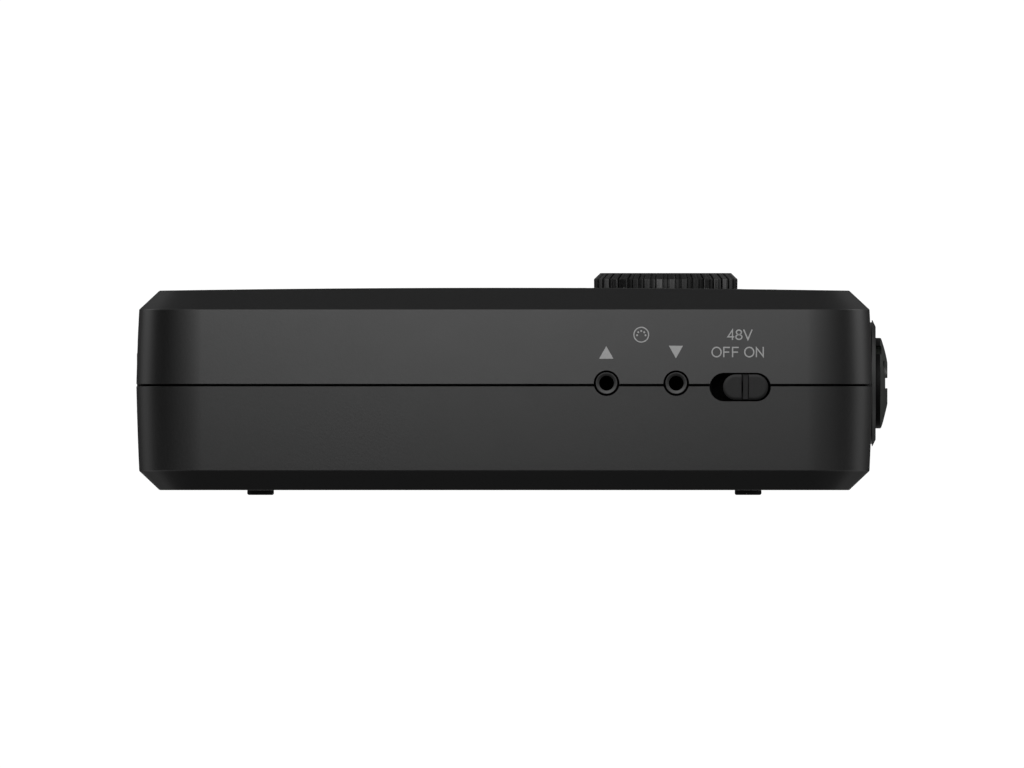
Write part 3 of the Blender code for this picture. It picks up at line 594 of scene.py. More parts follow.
# The lower chamfer, from the flat underside out to the wall
UNDERSIDE = [(SLOPE + 1.2 * MM, FLOOR_Z), (SLOPE, FLOOR_Z, 0.45 * MM), (DRAFT, LOWER_Z, 0.4 * MM)]


def outer_hull():
    """The case's lower outer shape, filled."""
    outside = [*UNDERSIDE, (0.0, PARTING_Z)]
    return loft([case_ring(inset, z) for inset, z in soften(outside)], strips=True)


def bottom_shell():
    rim = PARTING_Z - HALF_GAP
    outside = UNDERSIDE + wall_profile(LOWER_Z, rim) + [(0.0, rim, 0.05 * MM), (0.3 * MM, rim)]
    tongue = rim + 1.4 * MM
    inside = [(0.9 * MM, rim), (1.3 * MM, rim + 0.4 * MM), (1.3 * MM, tongue), (2 * MM, tongue)]
    inside += [(2 * MM, rim), mm(2.5, 5), mm(4.2, 3.45)]
    shell = shell_body(outside, inside)
    posts = bmesh.new()
    for x, y in SCREWS:
        outline = [mm(0, 3.2), mm(4.4, 3.2), mm(4.4, 6), mm(3, 6), mm(3, 19), mm(0, 19)]
        add(posts, turned(outline, 32, False), (x, y, 0))
    carve(shell, posts, "UNION")
    tools = side_openings()
    for x, y in SCREWS:
        head = [mm(0, -1), mm(5.2, -1), mm(3.1, 1.1), mm(3.1, 4.5), mm(1.7, 4.5)]
        add(tools, turned(head + [mm(1.7, 21), mm(0, 21)], 48, False), (x, y, 0))
    for x, y in FEET.values():
        levels = [mm(-1.3, -0.2), mm(-0.15, 0.95), mm(-0.15, 1.8)]
        add(tools, prism(upright(stadium(FOOT_LENGTH, FOOT_WIDTH)), levels), (x, y, 0))
    carve(shell, tools)
    carve(shell, box(mm(-32.5, 1.5, 1), mm(22.5, 32, 6)))
    high = (DOOR_RIGHT + DOOR_GAP, 60 * MM, DOOR_TOP + 0.15 * MM)
    carve(shell, box((DOOR_LEFT - DOOR_GAP, -DOOR_GAP, -1 * MM), high))
    finish(shell, "shell_bottom", "case", "case", "case_plastic", ["bottom_shell"])


def battery_door():
    """The lid with a row of grip ribs and an arrow sunk into it."""
    door = raw(box((DOOR_LEFT, 0, 0), (DOOR_RIGHT, 60 * MM, DOOR_TOP), 0.12 * MM))
    carve(door, outer_hull(), "INTERSECT")
    tools = bmesh.new()
    for i in range(7):
        levels = [(0, 0), mm(0, 0.95), (0.3 * MM, FLOOR_Z + 0.4 * MM)]
        groove = prism(stadium(*mm(26 - 1.2 * i, 0.8), 8), levels)
        add(tools, groove, (DOOR_MIDDLE, (9 + 1.7 * i) * MM, 0))
    arrow = [mm(-3, 23), mm(3, 23), mm(0, 27)]
    rings = [[(x + DOOR_MIDDLE, y, z) for x, y in arrow] for z in (0, FLOOR_Z + 0.3 * MM)]
    add(tools, loft(rings))
    carve(door, tools)
    finish(door, "door_panel", "case", "door", "case_plastic", ["battery_door"])


# ---- controls


def toothed(radius, teeth, depth, land=0.46):
    """An outline function with flat ribs, each cut free by a thin groove at each side."""
    start, groove = (1 - land) / 2, depth + 0.2 * MM
    half = [(0.0, depth - 0.05 * MM), (start - 0.14, depth)]
    half += [(start - 0.08, groove), (start - 0.01, groove)]
    half += [(start, 0.06 * MM), (start + 0.03, 0.0), (0.5, 0.0)]
    stops = half + [(1 - share, sunk) for share, sunk in reversed(half[1:-1])]

    def outline(inset=0.0):
        points = []
        for i in range(teeth):
            for share, sunk in stops:
                points.append(polar(radius - inset - sunk, 2 * pi / teeth * (i + share)))
        return points

    return outline


def gain_knobs():
    for number, y in CHANNELS.items():
        at = (KNOB_X, y, 0)
        rim = [mm(0.25, 36), mm(0.02, 36.15), mm(0.0, 38.1, 0.12)]
        rim += [(1.15 * MM, KNOB_TOP, 0.12 * MM), (1.6 * MM, KNOB_TOP)]
        knob = raw(moved(prism(toothed(KNOB_RADIUS, 36, 0.22 * MM), soften(rim, 3)), at))
        carve(knob, add(moved(rod(*mm(3.1, 35, 38.2)), at), dish(), at))
        carve(knob, moved(box(mm(-20, -0.55, 38.85), mm(-6.2, 0.55, 41)), at))
        body = f"gain_{number}"
        finish(knob, f"knob_{number}", "knob", body, replaces=[f"gain_knob_{number}"])
        roughen_recesses(knob, Vector(at) + ORIGIN)
        line = box(mm(-11.6, -0.42, 38.7), mm(-6.35, 0.42, 38.98), 0.05 * MM)
        piece(f"knob_pointer_{number}", moved(line, at), "pointer", body)


def roughen_recesses(knob, middle):
    """Gives the floors between a knob's ribs their coarser finish."""
    knob.data.materials.append(LOOKS["grip"])
    for face in knob.data.polygons:
        reach = (face.center - middle).xy.length
        if 12 * MM < reach < 12.56 * MM and 36.1 * MM < face.center.z < 38.2 * MM:
            face.material_index = 1


def dish():
    """The cutter for the slightly hollow top of a knob."""
    radius, sag = mm(10.6, 0.22)
    shares = [i / 8 for i in range(9)]
    profile = [(radius * share, KNOB_TOP - sag * (1 - share**4)) for share in shares]
    over = KNOB_TOP + 0.3 * MM
    return turned(profile + [(radius + 0.3 * MM, over), (0, over)], 96, False)


def slide_cap(name, x, facing, body, node):
    """A slot-shaped cap with a raised rib between two grooves, on a stem into the switch."""
    at = (x, 0, SWITCH_Z)
    rim = [mm(0, 37.6), mm(0, 39.71, 0.03), mm(0.3, 39.79)]
    rim += [(0.5 * MM, SLIDER_FACE), (0.7 * MM, SLIDER_FACE)]
    cap = raw(moved(prism(stadium(*mm(8, 4.5), 24), soften(rim)), at, facing))
    grooves = bmesh.new()
    for low, high, deep in (mm(-0.72, -0.5, 38.2), mm(0.5, 0.61, 39.2)):
        add(grooves, box((low, -3 * MM, deep), (high, 3 * MM, 41 * MM)))
    carve(cap, moved(grooves, at, facing))
    finish(cap, name, "switch", body, replaces=[node])
    levels = [mm(0, 39.1), (0, SLIDER_FACE), mm(0.08, 39.95)]
    rib = prism(rounded_rectangle(*mm(1.02, 4.4, 0.12)), levels)
    for vert in rib.verts:
        if vert.co.z > 39.5 * MM:
            vert.co.z -= 0.09 * (vert.co.x - 0.5 * MM)
    add(rib, box(mm(-1.1, -1.1, 34.2), mm(1.1, 1.1, 38.2), 0.1 * MM))
    piece(name + "_rib", moved(rib, at, facing), "switch", body)


def volume_wheels():
    for name, x in WHEELS.items():
        outline = toothed(WHEEL_RADIUS, 30, 0.35 * MM, 0.42)
        rim = [mm(0.5, -1.4), mm(0.0, -0.9, 0.15), mm(0.0, 0.9, 0.15), mm(0.5, 1.4)]
        wheel = raw(moved(prism(outline, soften(rim, 3)), (x, WHEEL_Y, WHEEL_Z)))
        carve(wheel, moved(rod(*mm(1.7, 15, 25), 32), (x, WHEEL_Y, 0)))
        edge, body = name.replace("wheel", "edge_wheel"), name.replace("wheel", "dial")
        finish(wheel, edge, "knob", body, replaces=[name])


# ---- sockets


def tube(inner, outer, back, front, round_out, round_in, steps):
    """A tube about Z with its front edges rounded."""
    profile = [((inner + outer) / 2, back), (outer, back, 0.05 * MM), (outer, front, round_out)]
    return turned(soften(profile + [(inner, front, round_in), (inner, back)]), steps)


def housing(name, low, high, edge, bore, at, facing):
    """A moulded block between corners seen from at, with a bore of (radius, low, high)."""
    block = raw(moved(box(low, high, edge), at))
    carve(block, moved(rod(*bore), at, facing))
    finish(block, name, "socket")


def washer(name, at, facing, radius, level):
    """A ring of painted shade in the gap between a socket's nose and the hole in the wall: near-black
    matte stuff where the gap would lie in shadow.
    """
    outer, face = radius + 1 * MM, level + 0.25 * MM
    ring = [(radius, level), (outer, level), (outer, face)]
    ring += [(radius + 0.5 * MM, level + 0.35 * MM), (radius, face)]
    piece(name + "_washer", moved(turned(ring), at, facing), "shade")


def front_sockets():
    for node, x in DATA_SOCKETS.items():
        name = node.replace("midi", "data").replace("jack", "socket")
        at = (x, 0, SOCKET_Z)
        low, high = mm(-3.2, -37, -2.3), mm(3.2, -26, 2.3)
        housing(name + "_body", low, high, 0.25 * MM, mm(1.6, 26.6, 45), at, "-Y")
        nose = [mm(1.6, 27), mm(1.92, 27), mm(1.92, 39.85, 0.08), mm(1.8, 39.85)]
        nose += [mm(1.29, 39.74, 0.06), mm(1.29, 27)]
        piece(name, moved(turned(soften(nose)), at, "-Y"), "socket", replaces=[node])
        washer(name, at, "-Y", *mm(1.92, 37.3))
        # Painted shade: a near-black matte plug at the back of the bore, so the bore reads as deep
        # shadow
        end = turned([mm(0, 26.65), mm(1.5, 26.65), mm(1.2, 27.6), mm(0, 27.2)], 32, False)
        piece(name + "_end", moved(end, at, "-Y"), "shade")


def input_sockets():
    for number, y in CHANNELS.items():
        at = (0, y, SOCKET_Z)
        collar = [
            (SOCKET_RADIUS, 46.7 * MM),
            (SOCKET_RADIUS, 65.58 * MM, 0.12 * MM),
            mm(9.97, 65.58, 0.06),
            (COLLAR_RADIUS, 65.0 * MM, 0.06 * MM),
            (COLLAR_RADIUS, 64.9 * MM),
            mm(10.75, 64.85),
            mm(10.75, 63.6),
            (COLLAR_RADIUS, 63.5 * MM),
            (COLLAR_RADIUS, 58 * MM),
            mm(10.6, 46),
            mm(3.6, 46),
            mm(3.6, 46.7),
        ]
        sleeve = moved(turned(soften(collar), 128), at, "+X")
        piece(f"input_collar_{number}", sleeve, "socket", replaces=[f"combo_housing_{number}"])
        low, high = mm(35.5, -10.4, -11.8), mm(45.95, 10.4, 11.8)
        housing(f"input_block_{number}", low, high, 0.5 * MM, mm(3.6, 36.8, 50), at, "+X")
        insert_plug(number, at)


def insert_plug(number, at):
    """A combined input's domed plug, with its bore, pin holes, cross groove and keyway."""
    side, edge, mouth = PLUG_RADIUS - 0.1 * MM, PLUG_RADIUS - 0.12 * MM, BORE_RADIUS + 0.25 * MM
    rise, span = 1.2 * MM, PLUG_RADIUS**2 - BORE_RADIUS**2
    profile = [(side, 47 * MM), (side, PLUG_RIM - 0.15 * MM)]
    profile.append((PLUG_RADIUS - 0.02 * MM, PLUG_RIM - 0.1 * MM))
    for i in range(13):
        here = edge + (mouth - edge) * i / 12
        profile.append((here, PLUG_RIM + rise * (PLUG_RADIUS**2 - here**2) / span))
    profile += [(BORE_RADIUS, profile[-1][1] - 0.12 * MM), (BORE_RADIUS, 47 * MM)]
    plug = raw(moved(turned(profile, 96), at, "+X"))
    tools = bmesh.new()
    pins = [(0, *polar(PIN_CIRCLE, -radians(90 + 120 * k), at[1:])) for k in range(3)]
    for pin in pins:
        hole = flared(*mm(1.2, 53), PLUG_RIM + 0.75 * MM, PLUG_RIM + 3 * MM, 0.12 * MM, 32)
        add(tools, hole, pin, "+X")
    add(tools, box(mm(67.28, -12, -0.9), mm(70, 12, 0.9)), at)
    carve(plug, tools)
    carve(plug, keyway(at))
    node = f"combo_insert_{number}"
    finish(plug, f"input_plug_{number}", "insert", slot="insert_plastic", replaces=[node])
    inner = side - 0.2 * MM
    ring = [(inner, 50 * MM), (PLUG_RADIUS, 50 * MM)]
    ring += [(PLUG_RADIUS, PLUG_RIM - 0.14 * MM), (inner, PLUG_RIM - 0.2 * MM)]
    sleeve = raw(moved(turned(ring, 96), at, "+X"))
    carve(sleeve, keyway(at))
    finish(sleeve, f"input_sleeve_{number}", "sleeve")
    contacts = bmesh.new()
    for pin in pins:
        add(contacts, tube(*mm(0.8, 1.1, 53.5, 66, 0.08, 0.08), 24), pin, "+X")
    add(contacts, tube(*mm(2.95, 3.28, 56, 62, 0.1, 0.1), 48), at, "+X")
    piece(f"input_contacts_{number}", contacts, "gold", slot="nickel_spring")


def keyway(at):
    """The keyway's cutter, on the near upper side of a plug."""
    key = box(mm(55, -1.1, 7.1), (PLUG_RIM + 0.1 * MM, *mm(1.1, 9)))
    turn = Matrix.Rotation(radians(42), 3, "X")
    bmesh.ops.rotate(key, cent=(0, 0, 0), matrix=turn, verts=key.verts)
    return moved(key, at)


def left_end():
    for node, y in LINE_JACKS.items():
        at = (0, y, SOCKET_Z)
        low, high = mm(-62.3, -7.2, -6.8), mm(-36.1, 7.2, 6.8)
        housing(node + "_body", low, high, 0.5 * MM, mm(4.4, 37.2, 70), at, "-X")
        nose = tube(*mm(3.3, 5.5, 45, 64.9, 0.35, 0.3), 96)
        piece(node + "_nose", moved(nose, at, "-X"), "socket", replaces=[node])
        washer(node, at, "-X", *mm(5.5, 62.35))
        contact = tube(*mm(2.9, 3.22, 56, 61.5, 0.1, 0.1), 48)
        piece(node + "_contact", moved(contact, at, "-X"), "gold", slot="nickel_spring")
    at = (0, PHONES_Y, SOCKET_Z)
    nose = tube(*mm(1.8, 3.0, 52, 64.9, 0.3, 0.15), 64)
    piece("phones_nose", moved(nose, at, "-X"), "socket", replaces=["phones_jack"])
    washer("phones", at, "-X", *mm(3, 62.65))
    low, high = mm(-62.6, -4, -2.35), mm(-48.6, 4, 2.35)
    housing("phones_body", low, high, 0.3 * MM, mm(2.4, 50, 70), at, "-X")
    contact = tube(*mm(1.5, 1.74, 55, 62, 0.1, 0.1), 32)
    piece("phones_contact", moved(contact, at, "-X"), "gold", slot="nickel_spring")


def host_port():
    """A drawn steel shell with a rolled lip round a tongue with contacts."""
    at = (-64.7 * MM, PORT_Y, PORT_Z)
    outline = upright(stadium(PORT_LENGTH, PORT_HEIGHT, 20))
    levels = [mm(0, -8.2), mm(0, -0.1), mm(0.05, -0.02), mm(0.15, 0)]
    shell = raw(moved(prism(outline, levels), at, "-X"))
    mouth = [mm(0.3, -7.8), mm(0.3, -0.12), mm(0.2, -0.02), mm(0.1, 0.2)]
    carve(shell, moved(prism(outline, mouth), at, "-X"))
    finish(shell, "port_shell", "steel", slot="tinned_steel", replaces=["usb_shell"])
    tongue = box(mm(-64.0, 19.2, 19.95), mm(-57.4, 25.8, 20.65), 0.12 * MM)
    piece("port_tongue", tongue, "epoxy", replaces=["usb_tongue"])
    contacts = bmesh.new()
    for i in range(10):
        for z in (19.94, 20.64):
            strip = box(mm(-63.7, 20.02, z), mm(-60, 20.28, z + 0.03))
            add(contacts, strip, (0, 0.52 * i * MM, 0))
    piece("port_contacts", contacts, "gold", slot="nickel_spring")


def power_inlet():
    at = (POWER_X, 0, POWER_Z)
    nose = tube(*mm(2.85, 3.9, 30, 39.85, 0.3, 0.15), 64)
    piece("power_nose", moved(nose, at, "+Y"), "socket", replaces=["power_jack"])
    washer("power", at, "+Y", *mm(3.9, 37.55))
    low, high = mm(-4.2, 25.5, -3.9), mm(4.2, 37.5, 3.9)
    housing("power_body", low, high, 0.4 * MM, mm(3.3, 28.2, 45), at, "+Y")
    profile = [mm(0, 28.3), mm(0.95, 28.3), mm(0.95, 38.2, 0.5), mm(0, 38.2)]
    pin = moved(turned(soften(profile), 32, False), at, "+Y")
    piece("power_centre_pin", pin, "nickel", slot="tinned_steel", replaces=["power_pin"])


# ---- feet, screws and lamps


def feet():
    outline = upright(stadium(FOOT_LENGTH, FOOT_WIDTH))
    rim = [mm(0.6, 0), mm(0.0, 0, 0.35), mm(0.06, 0.85)]
    rim += [mm(0.0, 1.0), mm(0.0, 1.6), mm(0.6, 1.6)]
    for name, (x, y) in FEET.items():
        foot = moved(prism(outline, soften(rim, 5)), (x, y, 0))
        piece(name.replace("foot", "pad"), foot, "rubber", slot="foot_rubber", replaces=[name])


def case_screws():
    profile = [mm(0, 2.2), mm(1.6, 2.25), mm(2.5, 2.6, 0.4), mm(2.7, 3.4, 0.3)]
    profile += [mm(2.7, 4.2, 0.1), mm(1.4, 4.2), mm(1.4, 30), mm(0, 31)]
    corners = ((-1, -1), (1, -1), (1, 1), (-1, 1))
    for i, (x, y) in enumerate(SCREWS, 1):
        screw = raw(moved(turned(soften(profile), 48, False), (x, y, 0)))
        for half_x, half_y in (mm(1.45, 0.28), mm(0.28, 1.45)):
            arm = []
            for z, grow in ((1 * MM, 1.15), (3.4 * MM, 0.75)):
                arm.append([(x + cx * half_x * grow, y + cy * half_y, z) for cx, cy in corners])
            carve(screw, loft(arm))
        finish(screw, f"screw_{i}", "screw", slot="tinned_steel", replaces=[f"case_screw_{i}"])


def lamps():
    for name, (x, y) in LAMPS.items():
        top = roof_height(x) - 0.03 * MM
        profile = [mm(0, 27.2), mm(1.0, 27.2), (1.0 * MM, top - 0.12 * MM, 0.1 * MM)]
        profile = soften([*profile, (0.7 * MM, top - 0.02 * MM)]) + [(0, top)]
        guide = moved(turned(profile, 32, False), (x, y, 0))
        piece(name.replace("lamp", "light"), guide, "lamp", slot="lamp_guide", replaces=[name])


def battery_springs():
    """Round-wire cone springs, coiled to the same turns as their CAD shapes."""
    turns, wire, up = 3.5, 0.4 * MM, Vector((0, 0, 1))
    around = [2 * pi * k / 10 for k in range(10)]
    rings = []
    for i in range(141):
        share = i / 140
        angle = 2 * pi * turns * share
        outward = Vector((cos(angle), sin(angle), 0))
        middle = outward * (4.4 - 2.0 * share) * MM + up * (wire + 4.2 * MM * share)
        rings.append([middle + wire * (outward * cos(a) + up * sin(a)) for a in around])
    for number, x, y, facing in ((1, *mm(-32.2, 9.2), "+X"), (2, *mm(22.2, 24.4), "-X")):
        coil = moved(loft(rings), (x, y, 10 * MM), facing)
        node = f"battery_spring_{number}"
        piece(f"cell_spring_{number}", coil, "nickel", slot="nickel_spring", replaces=[node])


# ---- prints

# Strokes, ellipses of (middle, radii) and advance of each letter, in letter heights
BOWL_2 = [(0.08, 0.70), (0.12, 0.88), (0.33, 0.955), (0.54, 0.86), (0.56, 0.66), (0.42, 0.46)]
BOWL_2 += [(0.10, 0.18), (0.07, 0.045), (0.62, 0.045)]
BOWL_R = [(0.15, 0), (0.15, 0.95), (0.55, 0.95), (0.72, 0.86), (0.74, 0.70), (0.62, 0.52)]
BOWL_R += [(0.15, 0.48)]
GLYPHS = {
    "1": ([[(0.12, 0.76), (0.38, 0.955), (0.38, 0)]], [], 0.775),
    "2": ([BOWL_2], [], 0.775),
    "4": ([[(0.50, 0), (0.50, 0.96), (0.06, 0.29), (0.68, 0.29)]], [], 0.775),
    "8": ([], [((0.35, 0.735), (0.245, 0.215)), ((0.35, 0.275), (0.29, 0.23))], 0.775),
    "V": ([[(0.04, 1), (0.45, 0.03), (0.86, 1)]], [], 0.93),
    "O": ([], [((0.53, 0.5), (0.44, 0.46))], 1.083),
    "F": ([[(0.15, 0), (0.15, 0.95), (0.74, 0.95)], [(0.15, 0.50), (0.68, 0.50)]], [], 0.85),
    "N": ([[(0.14, 0), (0.14, 0.92), (0.80, 0.08), (0.80, 1)]], [], 1.0),
    "L": ([[(0.15, 1), (0.15, 0.045), (0.68, 0.045)]], [], 0.775),
    "R": ([BOWL_R, [(0.5, 0.48), (0.78, 0)]], [], 0.95),
    " ": ([], [], 0.39),
}


def ribbon(points, width, ring=False):
    """Quads along a line, with mitred joints."""
    count = len(points)
    sides = []
    for i, point in enumerate(points):
        here = Vector(point)
        before = Vector(points[(i - 1) % count]) if ring or i else None
        after = Vector(points[(i + 1) % count]) if ring or i < count - 1 else None
        into = (here - before).normalized() if before is not None else (after - here).normalized()
        out = (after - here).normalized() if after is not None else into
        across = Vector((-(into + out).y, (into + out).x)).normalized()
        reach = width / 2 / max(across.dot(Vector((-into.y, into.x))), 0.35)
        sides.append((here + across * reach, here - across * reach))
    pairs = list(zip(sides, sides[1:])) + ([(sides[-1], sides[0])] if ring else [])
    return [[a[0], a[1], b[1], b[0]] for a, b in pairs]


def ellipse(middle, radii, steps=36):
    (x, y), (wide, high) = middle, radii
    angles = [2 * pi * i / steps for i in range(steps)]
    return [(x + wide * cos(a), y + high * sin(a)) for a in angles]


def lettering(text, height, middle, low, stroke=0.122):
    """Polygons of a line of text, centred on middle, standing on low."""
    width = sum(GLYPHS[letter][2] for letter in text)
    shapes, pen = [], -width / 2
    for letter in text:
        lines, rings, advance = GLYPHS[letter]
        parts = [quad for line in lines for quad in ribbon(line, stroke)]
        for centre, radii in rings:
            parts += ribbon(ellipse(centre, radii), stroke, True)
        for part in parts:
            shapes.append([(middle + (pen + u) * height, low + v * height) for u, v in part])
        pen += advance
    return shapes


def arc(middle, radius, start, end, steps=20):
    angles = [radians(start + (end - start) * i / steps) for i in range(steps + 1)]
    return [polar(radius, a, middle) for a in angles]


def on_front(u, v, lift):
    """Where a point u along the front side and v up stands, lifted off the surface."""
    return (u, -(WIDTH / 2 - wall_inset(v) + lift), v)


def on_back(u, v, lift):
    return (-u, WIDTH / 2 - wall_inset(v) + lift, v)


def on_left(u, v, lift):
    return (-(LENGTH / 2 - wall_inset(v) + lift), -u, v)


def on_roof(u, v, lift):
    return (u, v, roof_height(u) + lift)


def printed(name, place, shapes):
    """A thin layer of ink on the side of the case that place gives."""
    bm = bmesh.new()
    for shape in shapes:
        loft([[place(u, v, lift) for u, v in shape] for lift in mm(-0.01, 0.012)], bm=bm)
    piece(name, bm, "print", slot="case_plastic", angle=60)


def phones_symbol(x, z, size):
    """A headphone outline: a band with two cups."""
    shapes = ribbon(arc((x, z), size, 0, 180), size * 0.22)
    for side in (-1, 1):
        cup = ellipse((x + side * size * 0.92, z - size * 0.35), (size * 0.26, size * 0.5), 24)
        shapes.append(cup)
    return shapes


def prints():
    triangle = [mm(-1.245, 0), mm(1.245, 0), mm(0, 2.23)]
    up = [(18.0 * MM + u, 24.07 * MM + v) for u, v in triangle]
    down = [(30.3 * MM + u, 26.36 * MM - v) for u, v in triangle]
    front = [up, down, *lettering("48V", *mm(1.82, 41.63, 27.4))]
    front += lettering("OFF ON", *mm(1.82, 41.3, 24.33))
    # A round five-pin plug stands for the kind of connection
    middle = mm(24.18, 28.31)
    front += ribbon(ellipse(middle, mm(1.3, 1.3), 48), 0.2 * MM, True)
    for degrees in (0, 45, 90, 135, 180):
        x, z = polar(0.75 * MM, radians(degrees), middle)
        front.append(ellipse((x, z - 0.1 * MM), mm(0.17, 0.17), 16))
    printed("front_print", on_front, front)

    roof = []
    for number, y in CHANNELS.items():
        for k in range(11):
            angle = radians(30 + 30 * k)
            tick = 1.5 if k in (0, 5, 10) else 0.9
            line = [polar(reach, angle, (KNOB_X, y)) for reach in mm(14.0, 14.0 + tick)]
            roof += ribbon(line, 0.22 * MM)
        roof += lettering(str(number), *mm(2.6, 47.5), y - 1.3 * MM)
    printed("roof_print", on_roof, roof)

    left = lettering("R", *mm(1.9, 20, 27.8)) + lettering("L", *mm(1.9, 3, 27.8))
    left += phones_symbol(*mm(-12, 27.9, 1.3))
    printed("left_print", on_left, left)

    back = lettering("OFF ON", *mm(1.82, -46.3, 24.3)) + phones_symbol(*mm(20, 25.4, 1.2))
    speaker = [mm(40.9, 24.6), mm(41.6, 24.6), mm(42.5, 23.8), mm(42.5, 26.6)]
    back.append(speaker + [mm(41.6, 25.8), mm(40.9, 25.8)])
    for radius in mm(1.0, 1.7):
        back += ribbon(arc(mm(42.4, 25.2), radius, -45, 45, 12), 0.2 * MM)
    back += ribbon([mm(-31.4, 24.6), mm(-28.0, 24.6)], 0.2 * MM)
    for start in (-31.4, -30.1, -28.8):
        back += ribbon([mm(start, 24.0), mm(start + 0.8, 24.0)], 0.2 * MM)
    printed("back_print", on_back, back)


# ---- inner CAD pieces

CARRIED = {
    "board": ["main_board", "input_board"],
    "epoxy": ["processor_chip", "converter_chip", "supply_inductor", "board_header"],
    "steel": ["preamp_shield", "capacitor_1", "capacitor_2", "output_wheel_control"]
    + ["phones_wheel_control", "gain_pot_1", "gain_pot_2", "gain_shaft_1", "gain_shaft_2"]
    + ["board_screw_1", "board_screw_2"],
    "nickel": ["battery_plate_1", "battery_plate_2"],
    "tray": ["battery_tray"],
    # The switch bodies get the painted shade, so that the slots in front of them read as deep shadow
    "shade": ["phantom_switch_body", "monitor_switch_body"],
}


def carried_nodes():
    """CAD pieces that stay as they are get broken edges and a finished material."""
    for look, names in CARRIED.items():
        for name in names:
            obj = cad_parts[name]
            obj.data.materials.clear()
            obj.data.materials.append(LOOKS[look])
            bevel = obj.modifiers.new("broken_edges", "BEVEL")
            bevel.width, bevel.segments, bevel.limit_method = 0.12 * MM, 2, "ANGLE"
            bevel.angle_limit = radians(50)


# ---- studio and camera


DOME = 0.6
VIEW_WIDTH = 180.85 * MM
SOFTBOX = 2.8
# Brightness of the softbox by degrees round from the front
AROUND = [(-180, 0.01), (-150, 0.01), (-134, 0.02), (-121, 0.34), (-106, 0.57), (-93, 0.05)]
AROUND += [(-72, 0.01), (-58, 0.07), (-30, 0.37), (-12, 0.70), (0, 0.97), (12, 0.66), (30, 0.46)]
AROUND += [(47, 0.26), (66, 0.08), (84, 0.12), (97, 0.70), (111, 0.65), (123, 0.15)]
AROUND += [(140, 0.01), (180, 0.01)]
# And by degrees above the horizon, as for the dim surround
UPWARD = [(-16, 0.02), (-5, 0.22), (0, 0.32), (5, 0.47), (9, 0.74), (14, 1.0), (20, 1.05)]
UPWARD += [(34, 1.0), (50, 0.0)]
BASE = [(-90, 0.11), (-50, 0.11), (-12, 0.05), (0, 0.04), (14, 0.04), (32, 0.2), (50, 0.25)]
BASE += [(90, 0.25)]
# Light thrown back by the floor, at the corners and behind
BOUNCE_AROUND = [(-180, 1.0), (-170, 1.0), (-162, 0.1), (-138, 0.1), (-128, 1.0), (-45, 1.0)]
BOUNCE_AROUND += [(-25, 0.1), (25, 0.1), (45, 1.0), (128, 1.0), (138, 0.1), (162, 0.1)]
BOUNCE_AROUND += [(170, 1.0), (180, 1.0)]
BOUNCE_UPWARD = [(-50, 0.0), (-36, 0.45), (-14, 0.5), (-4, 0.0)]


def soft_dome():
    """A dome that lights the object by direction, and that the camera doesn't see."""
    bm = bmesh.new()
    bmesh.ops.create_uvsphere(bm, u_segments=64, v_segments=32, radius=DOME)
    dome = raw(bm, "soft_dome")
    nodes = Nodes("dome_light")
    direction = nodes.add("ShaderNodeVectorMath", operation="NORMALIZE")
    nodes.link(nodes.place, direction.inputs[0])
    split = nodes.add("ShaderNodeSeparateXYZ")
    nodes.link(direction.outputs[0], split.inputs[0])

    def maths(operation, *values):
        node = nodes.add("ShaderNodeMath", operation=operation)
        for value, target in zip(values, node.inputs):
            if isinstance(value, (int, float)):
                target.default_value = value
            else:
                nodes.link(value, target)
        return node.outputs[0]

    def curve(factor, stops, span):
        """Brightness from (degrees, value) stops, over a span of degrees."""
        node = nodes.add("ShaderNodeValToRGB")
        elements = node.color_ramp.elements
        while len(elements) < len(stops):
            elements.new(0.5)
        for element, (degrees, value) in zip(elements, stops):
            element.position = 0.5 + degrees / span
            element.color = (value, value, value, 1)
        nodes.link(factor, node.inputs["Fac"])
        return node.outputs["Color"]

    turn = maths("ARCTAN2", split.outputs["X"], maths("MULTIPLY", split.outputs["Y"], -1))
    share = maths("MULTIPLY_ADD", turn, 0.5 / pi, 0.5)
    level = maths("MULTIPLY_ADD", maths("ARCSINE", split.outputs["Z"]), 1 / pi, 0.5)
    softbox = maths("MULTIPLY", curve(share, AROUND, 360), curve(level, UPWARD, 180))
    bounce = curve(share, BOUNCE_AROUND, 360), curve(level, BOUNCE_UPWARD, 180)
    dim = maths("ADD", curve(level, BASE, 180), maths("MULTIPLY", *bounce))
    total = maths("MULTIPLY_ADD", softbox, SOFTBOX, dim)
    glow = nodes.add("ShaderNodeEmission")
    nodes.link(total, glow.inputs["Strength"])
    nodes.tree.nodes.remove(nodes.shader)
    output = next(node for node in nodes.tree.nodes if node.type == "OUTPUT_MATERIAL")
    nodes.link(glow.outputs[0], output.inputs["Surface"])
    dome.data.materials.append(nodes.material)
    dome.visible_camera = dome.visible_shadow = False


def area_light(name, size, energy, at, turn):
    """A rectangular light that the camera doesn't see."""
    lamp = bpy.data.lights.new(name, "AREA")
    lamp.shape, lamp.energy = "RECTANGLE", energy
    lamp.size, lamp.size_y = size
    light = bpy.data.objects.new(name, lamp)
    light.location, light.rotation_euler = at, turn
    light.visible_camera = False
    bpy.context.scene.collection.objects.link(light)


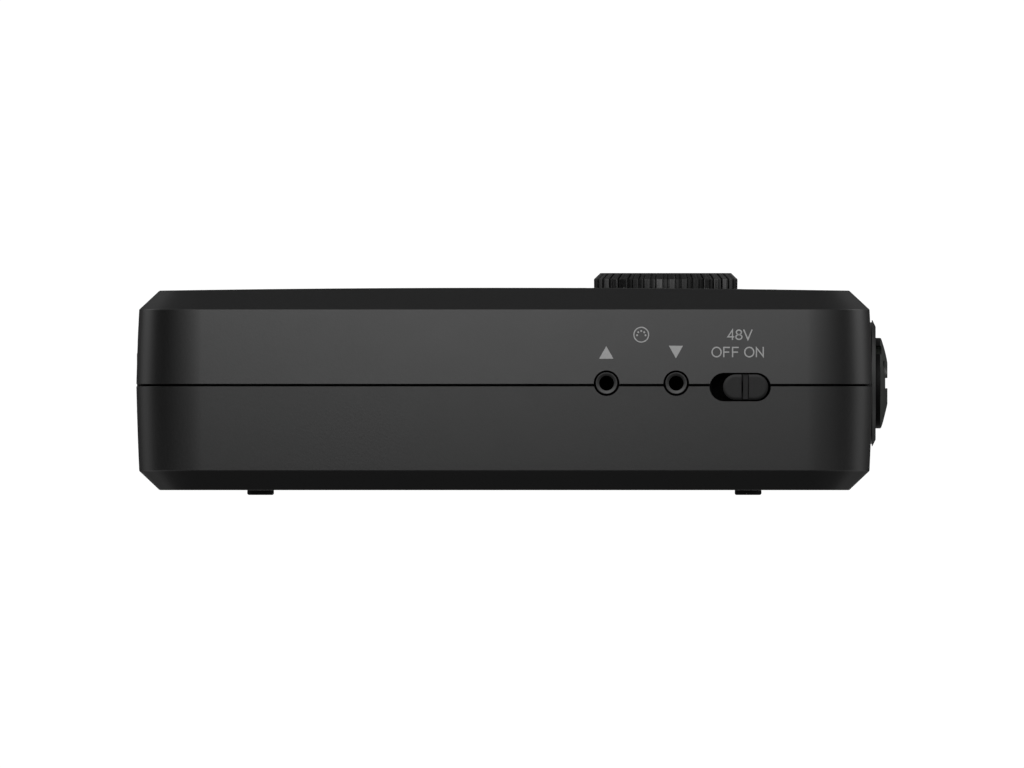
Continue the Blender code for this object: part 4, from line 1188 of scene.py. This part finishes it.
def pale_floor():
    """A floor that glows towards its rim, where it meets the white behind it."""
    bm = bmesh.new()
    bmesh.ops.create_circle(bm, cap_ends=True, radius=DOME * 0.97, segments=96)
    floor = raw(bm, "floor")
    nodes = Nodes("pale_floor")
    nodes.color(nodes.ramp(nodes.noise(120), 0.80, 0.84))
    nodes.roughness(nodes.ramp(nodes.noise(50), 0.85, 0.95))
    nodes.shader.inputs["Emission Color"].default_value = (1, 1, 1, 1)
    reach = nodes.add("ShaderNodeVectorMath", operation="LENGTH")
    nodes.link(nodes.place, reach.inputs[0])
    glow = nodes.add("ShaderNodeMapRange", interpolation_type="SMOOTHSTEP")
    for label, value in (("From Min", 0.12), ("From Max", 0.5), ("To Min", 0.42), ("To Max", 1.3)):
        glow.inputs[label].default_value = value
    nodes.link(reach.outputs["Value"], glow.inputs["Value"])
    nodes.link(glow.outputs["Result"], nodes.shader.inputs["Emission Strength"])
    floor.data.materials.append(nodes.material)
    floor.location.z = -0.02 * MM
    floor.visible_glossy = floor.visible_diffuse = False


def studio():
    soft_dome()
    pale_floor()
    above = Vector((-0.45, -0.75, 1.15))
    down = (-above).to_track_quat("-Z", "Y").to_euler()
    area_light("key", (0.9, 0.7), 3.0, above, down)
    area_light("strip", (0.05, 0.16), 0.04, (-0.01, -0.36, 0.06), (pi / 2, 0, 0))

    world = bpy.data.worlds.new("white")
    world.use_nodes = True
    background = world.node_tree.nodes["Background"]
    background.inputs["Color"].default_value = (1, 1, 1, 1)
    background.inputs["Strength"].default_value = 1.05
    scene = bpy.context.scene
    scene.world = world
    for ray in ("diffuse", "glossy", "transmission", "scatter"):
        setattr(world.cycles_visibility, ray, False)
    scene.view_settings.view_transform = "Standard"
    scene.view_settings.look = "None"


def camera():
    """A level view along +Y with no perspective, centred on the object."""
    low, high = (Vector(corner) for corner in CAD_BOUNDS)
    data = bpy.data.cameras.new("camera")
    data.type = "ORTHO"
    data.ortho_scale = VIEW_WIDTH
    data.clip_start, data.clip_end = 0.01, 10
    eye = bpy.data.objects.new("camera", data)
    middle = (low + high) / 2
    eye.location = (middle.x, -1.0, middle.z)
    eye.rotation_euler = (pi / 2, 0, 0)
    bpy.context.scene.collection.objects.link(eye)
    bpy.context.scene.camera = eye


top_shell()
bottom_shell()
battery_door()
gain_knobs()
slide_cap("phantom_cap", PHANTOM_X + SLIDER_REST, "-Y", "phantom_slide", "phantom_slider")
slide_cap("monitor_cap", MONITOR_X + SLIDER_REST, "+Y", "monitor_slide", "monitor_slider")
volume_wheels()
front_sockets()
input_sockets()
left_end()
host_port()
power_inlet()
feet()
case_screws()
lamps()
battery_springs()
prints()
carried_nodes()
studio()
camera()

bpy.context.view_layer.update()
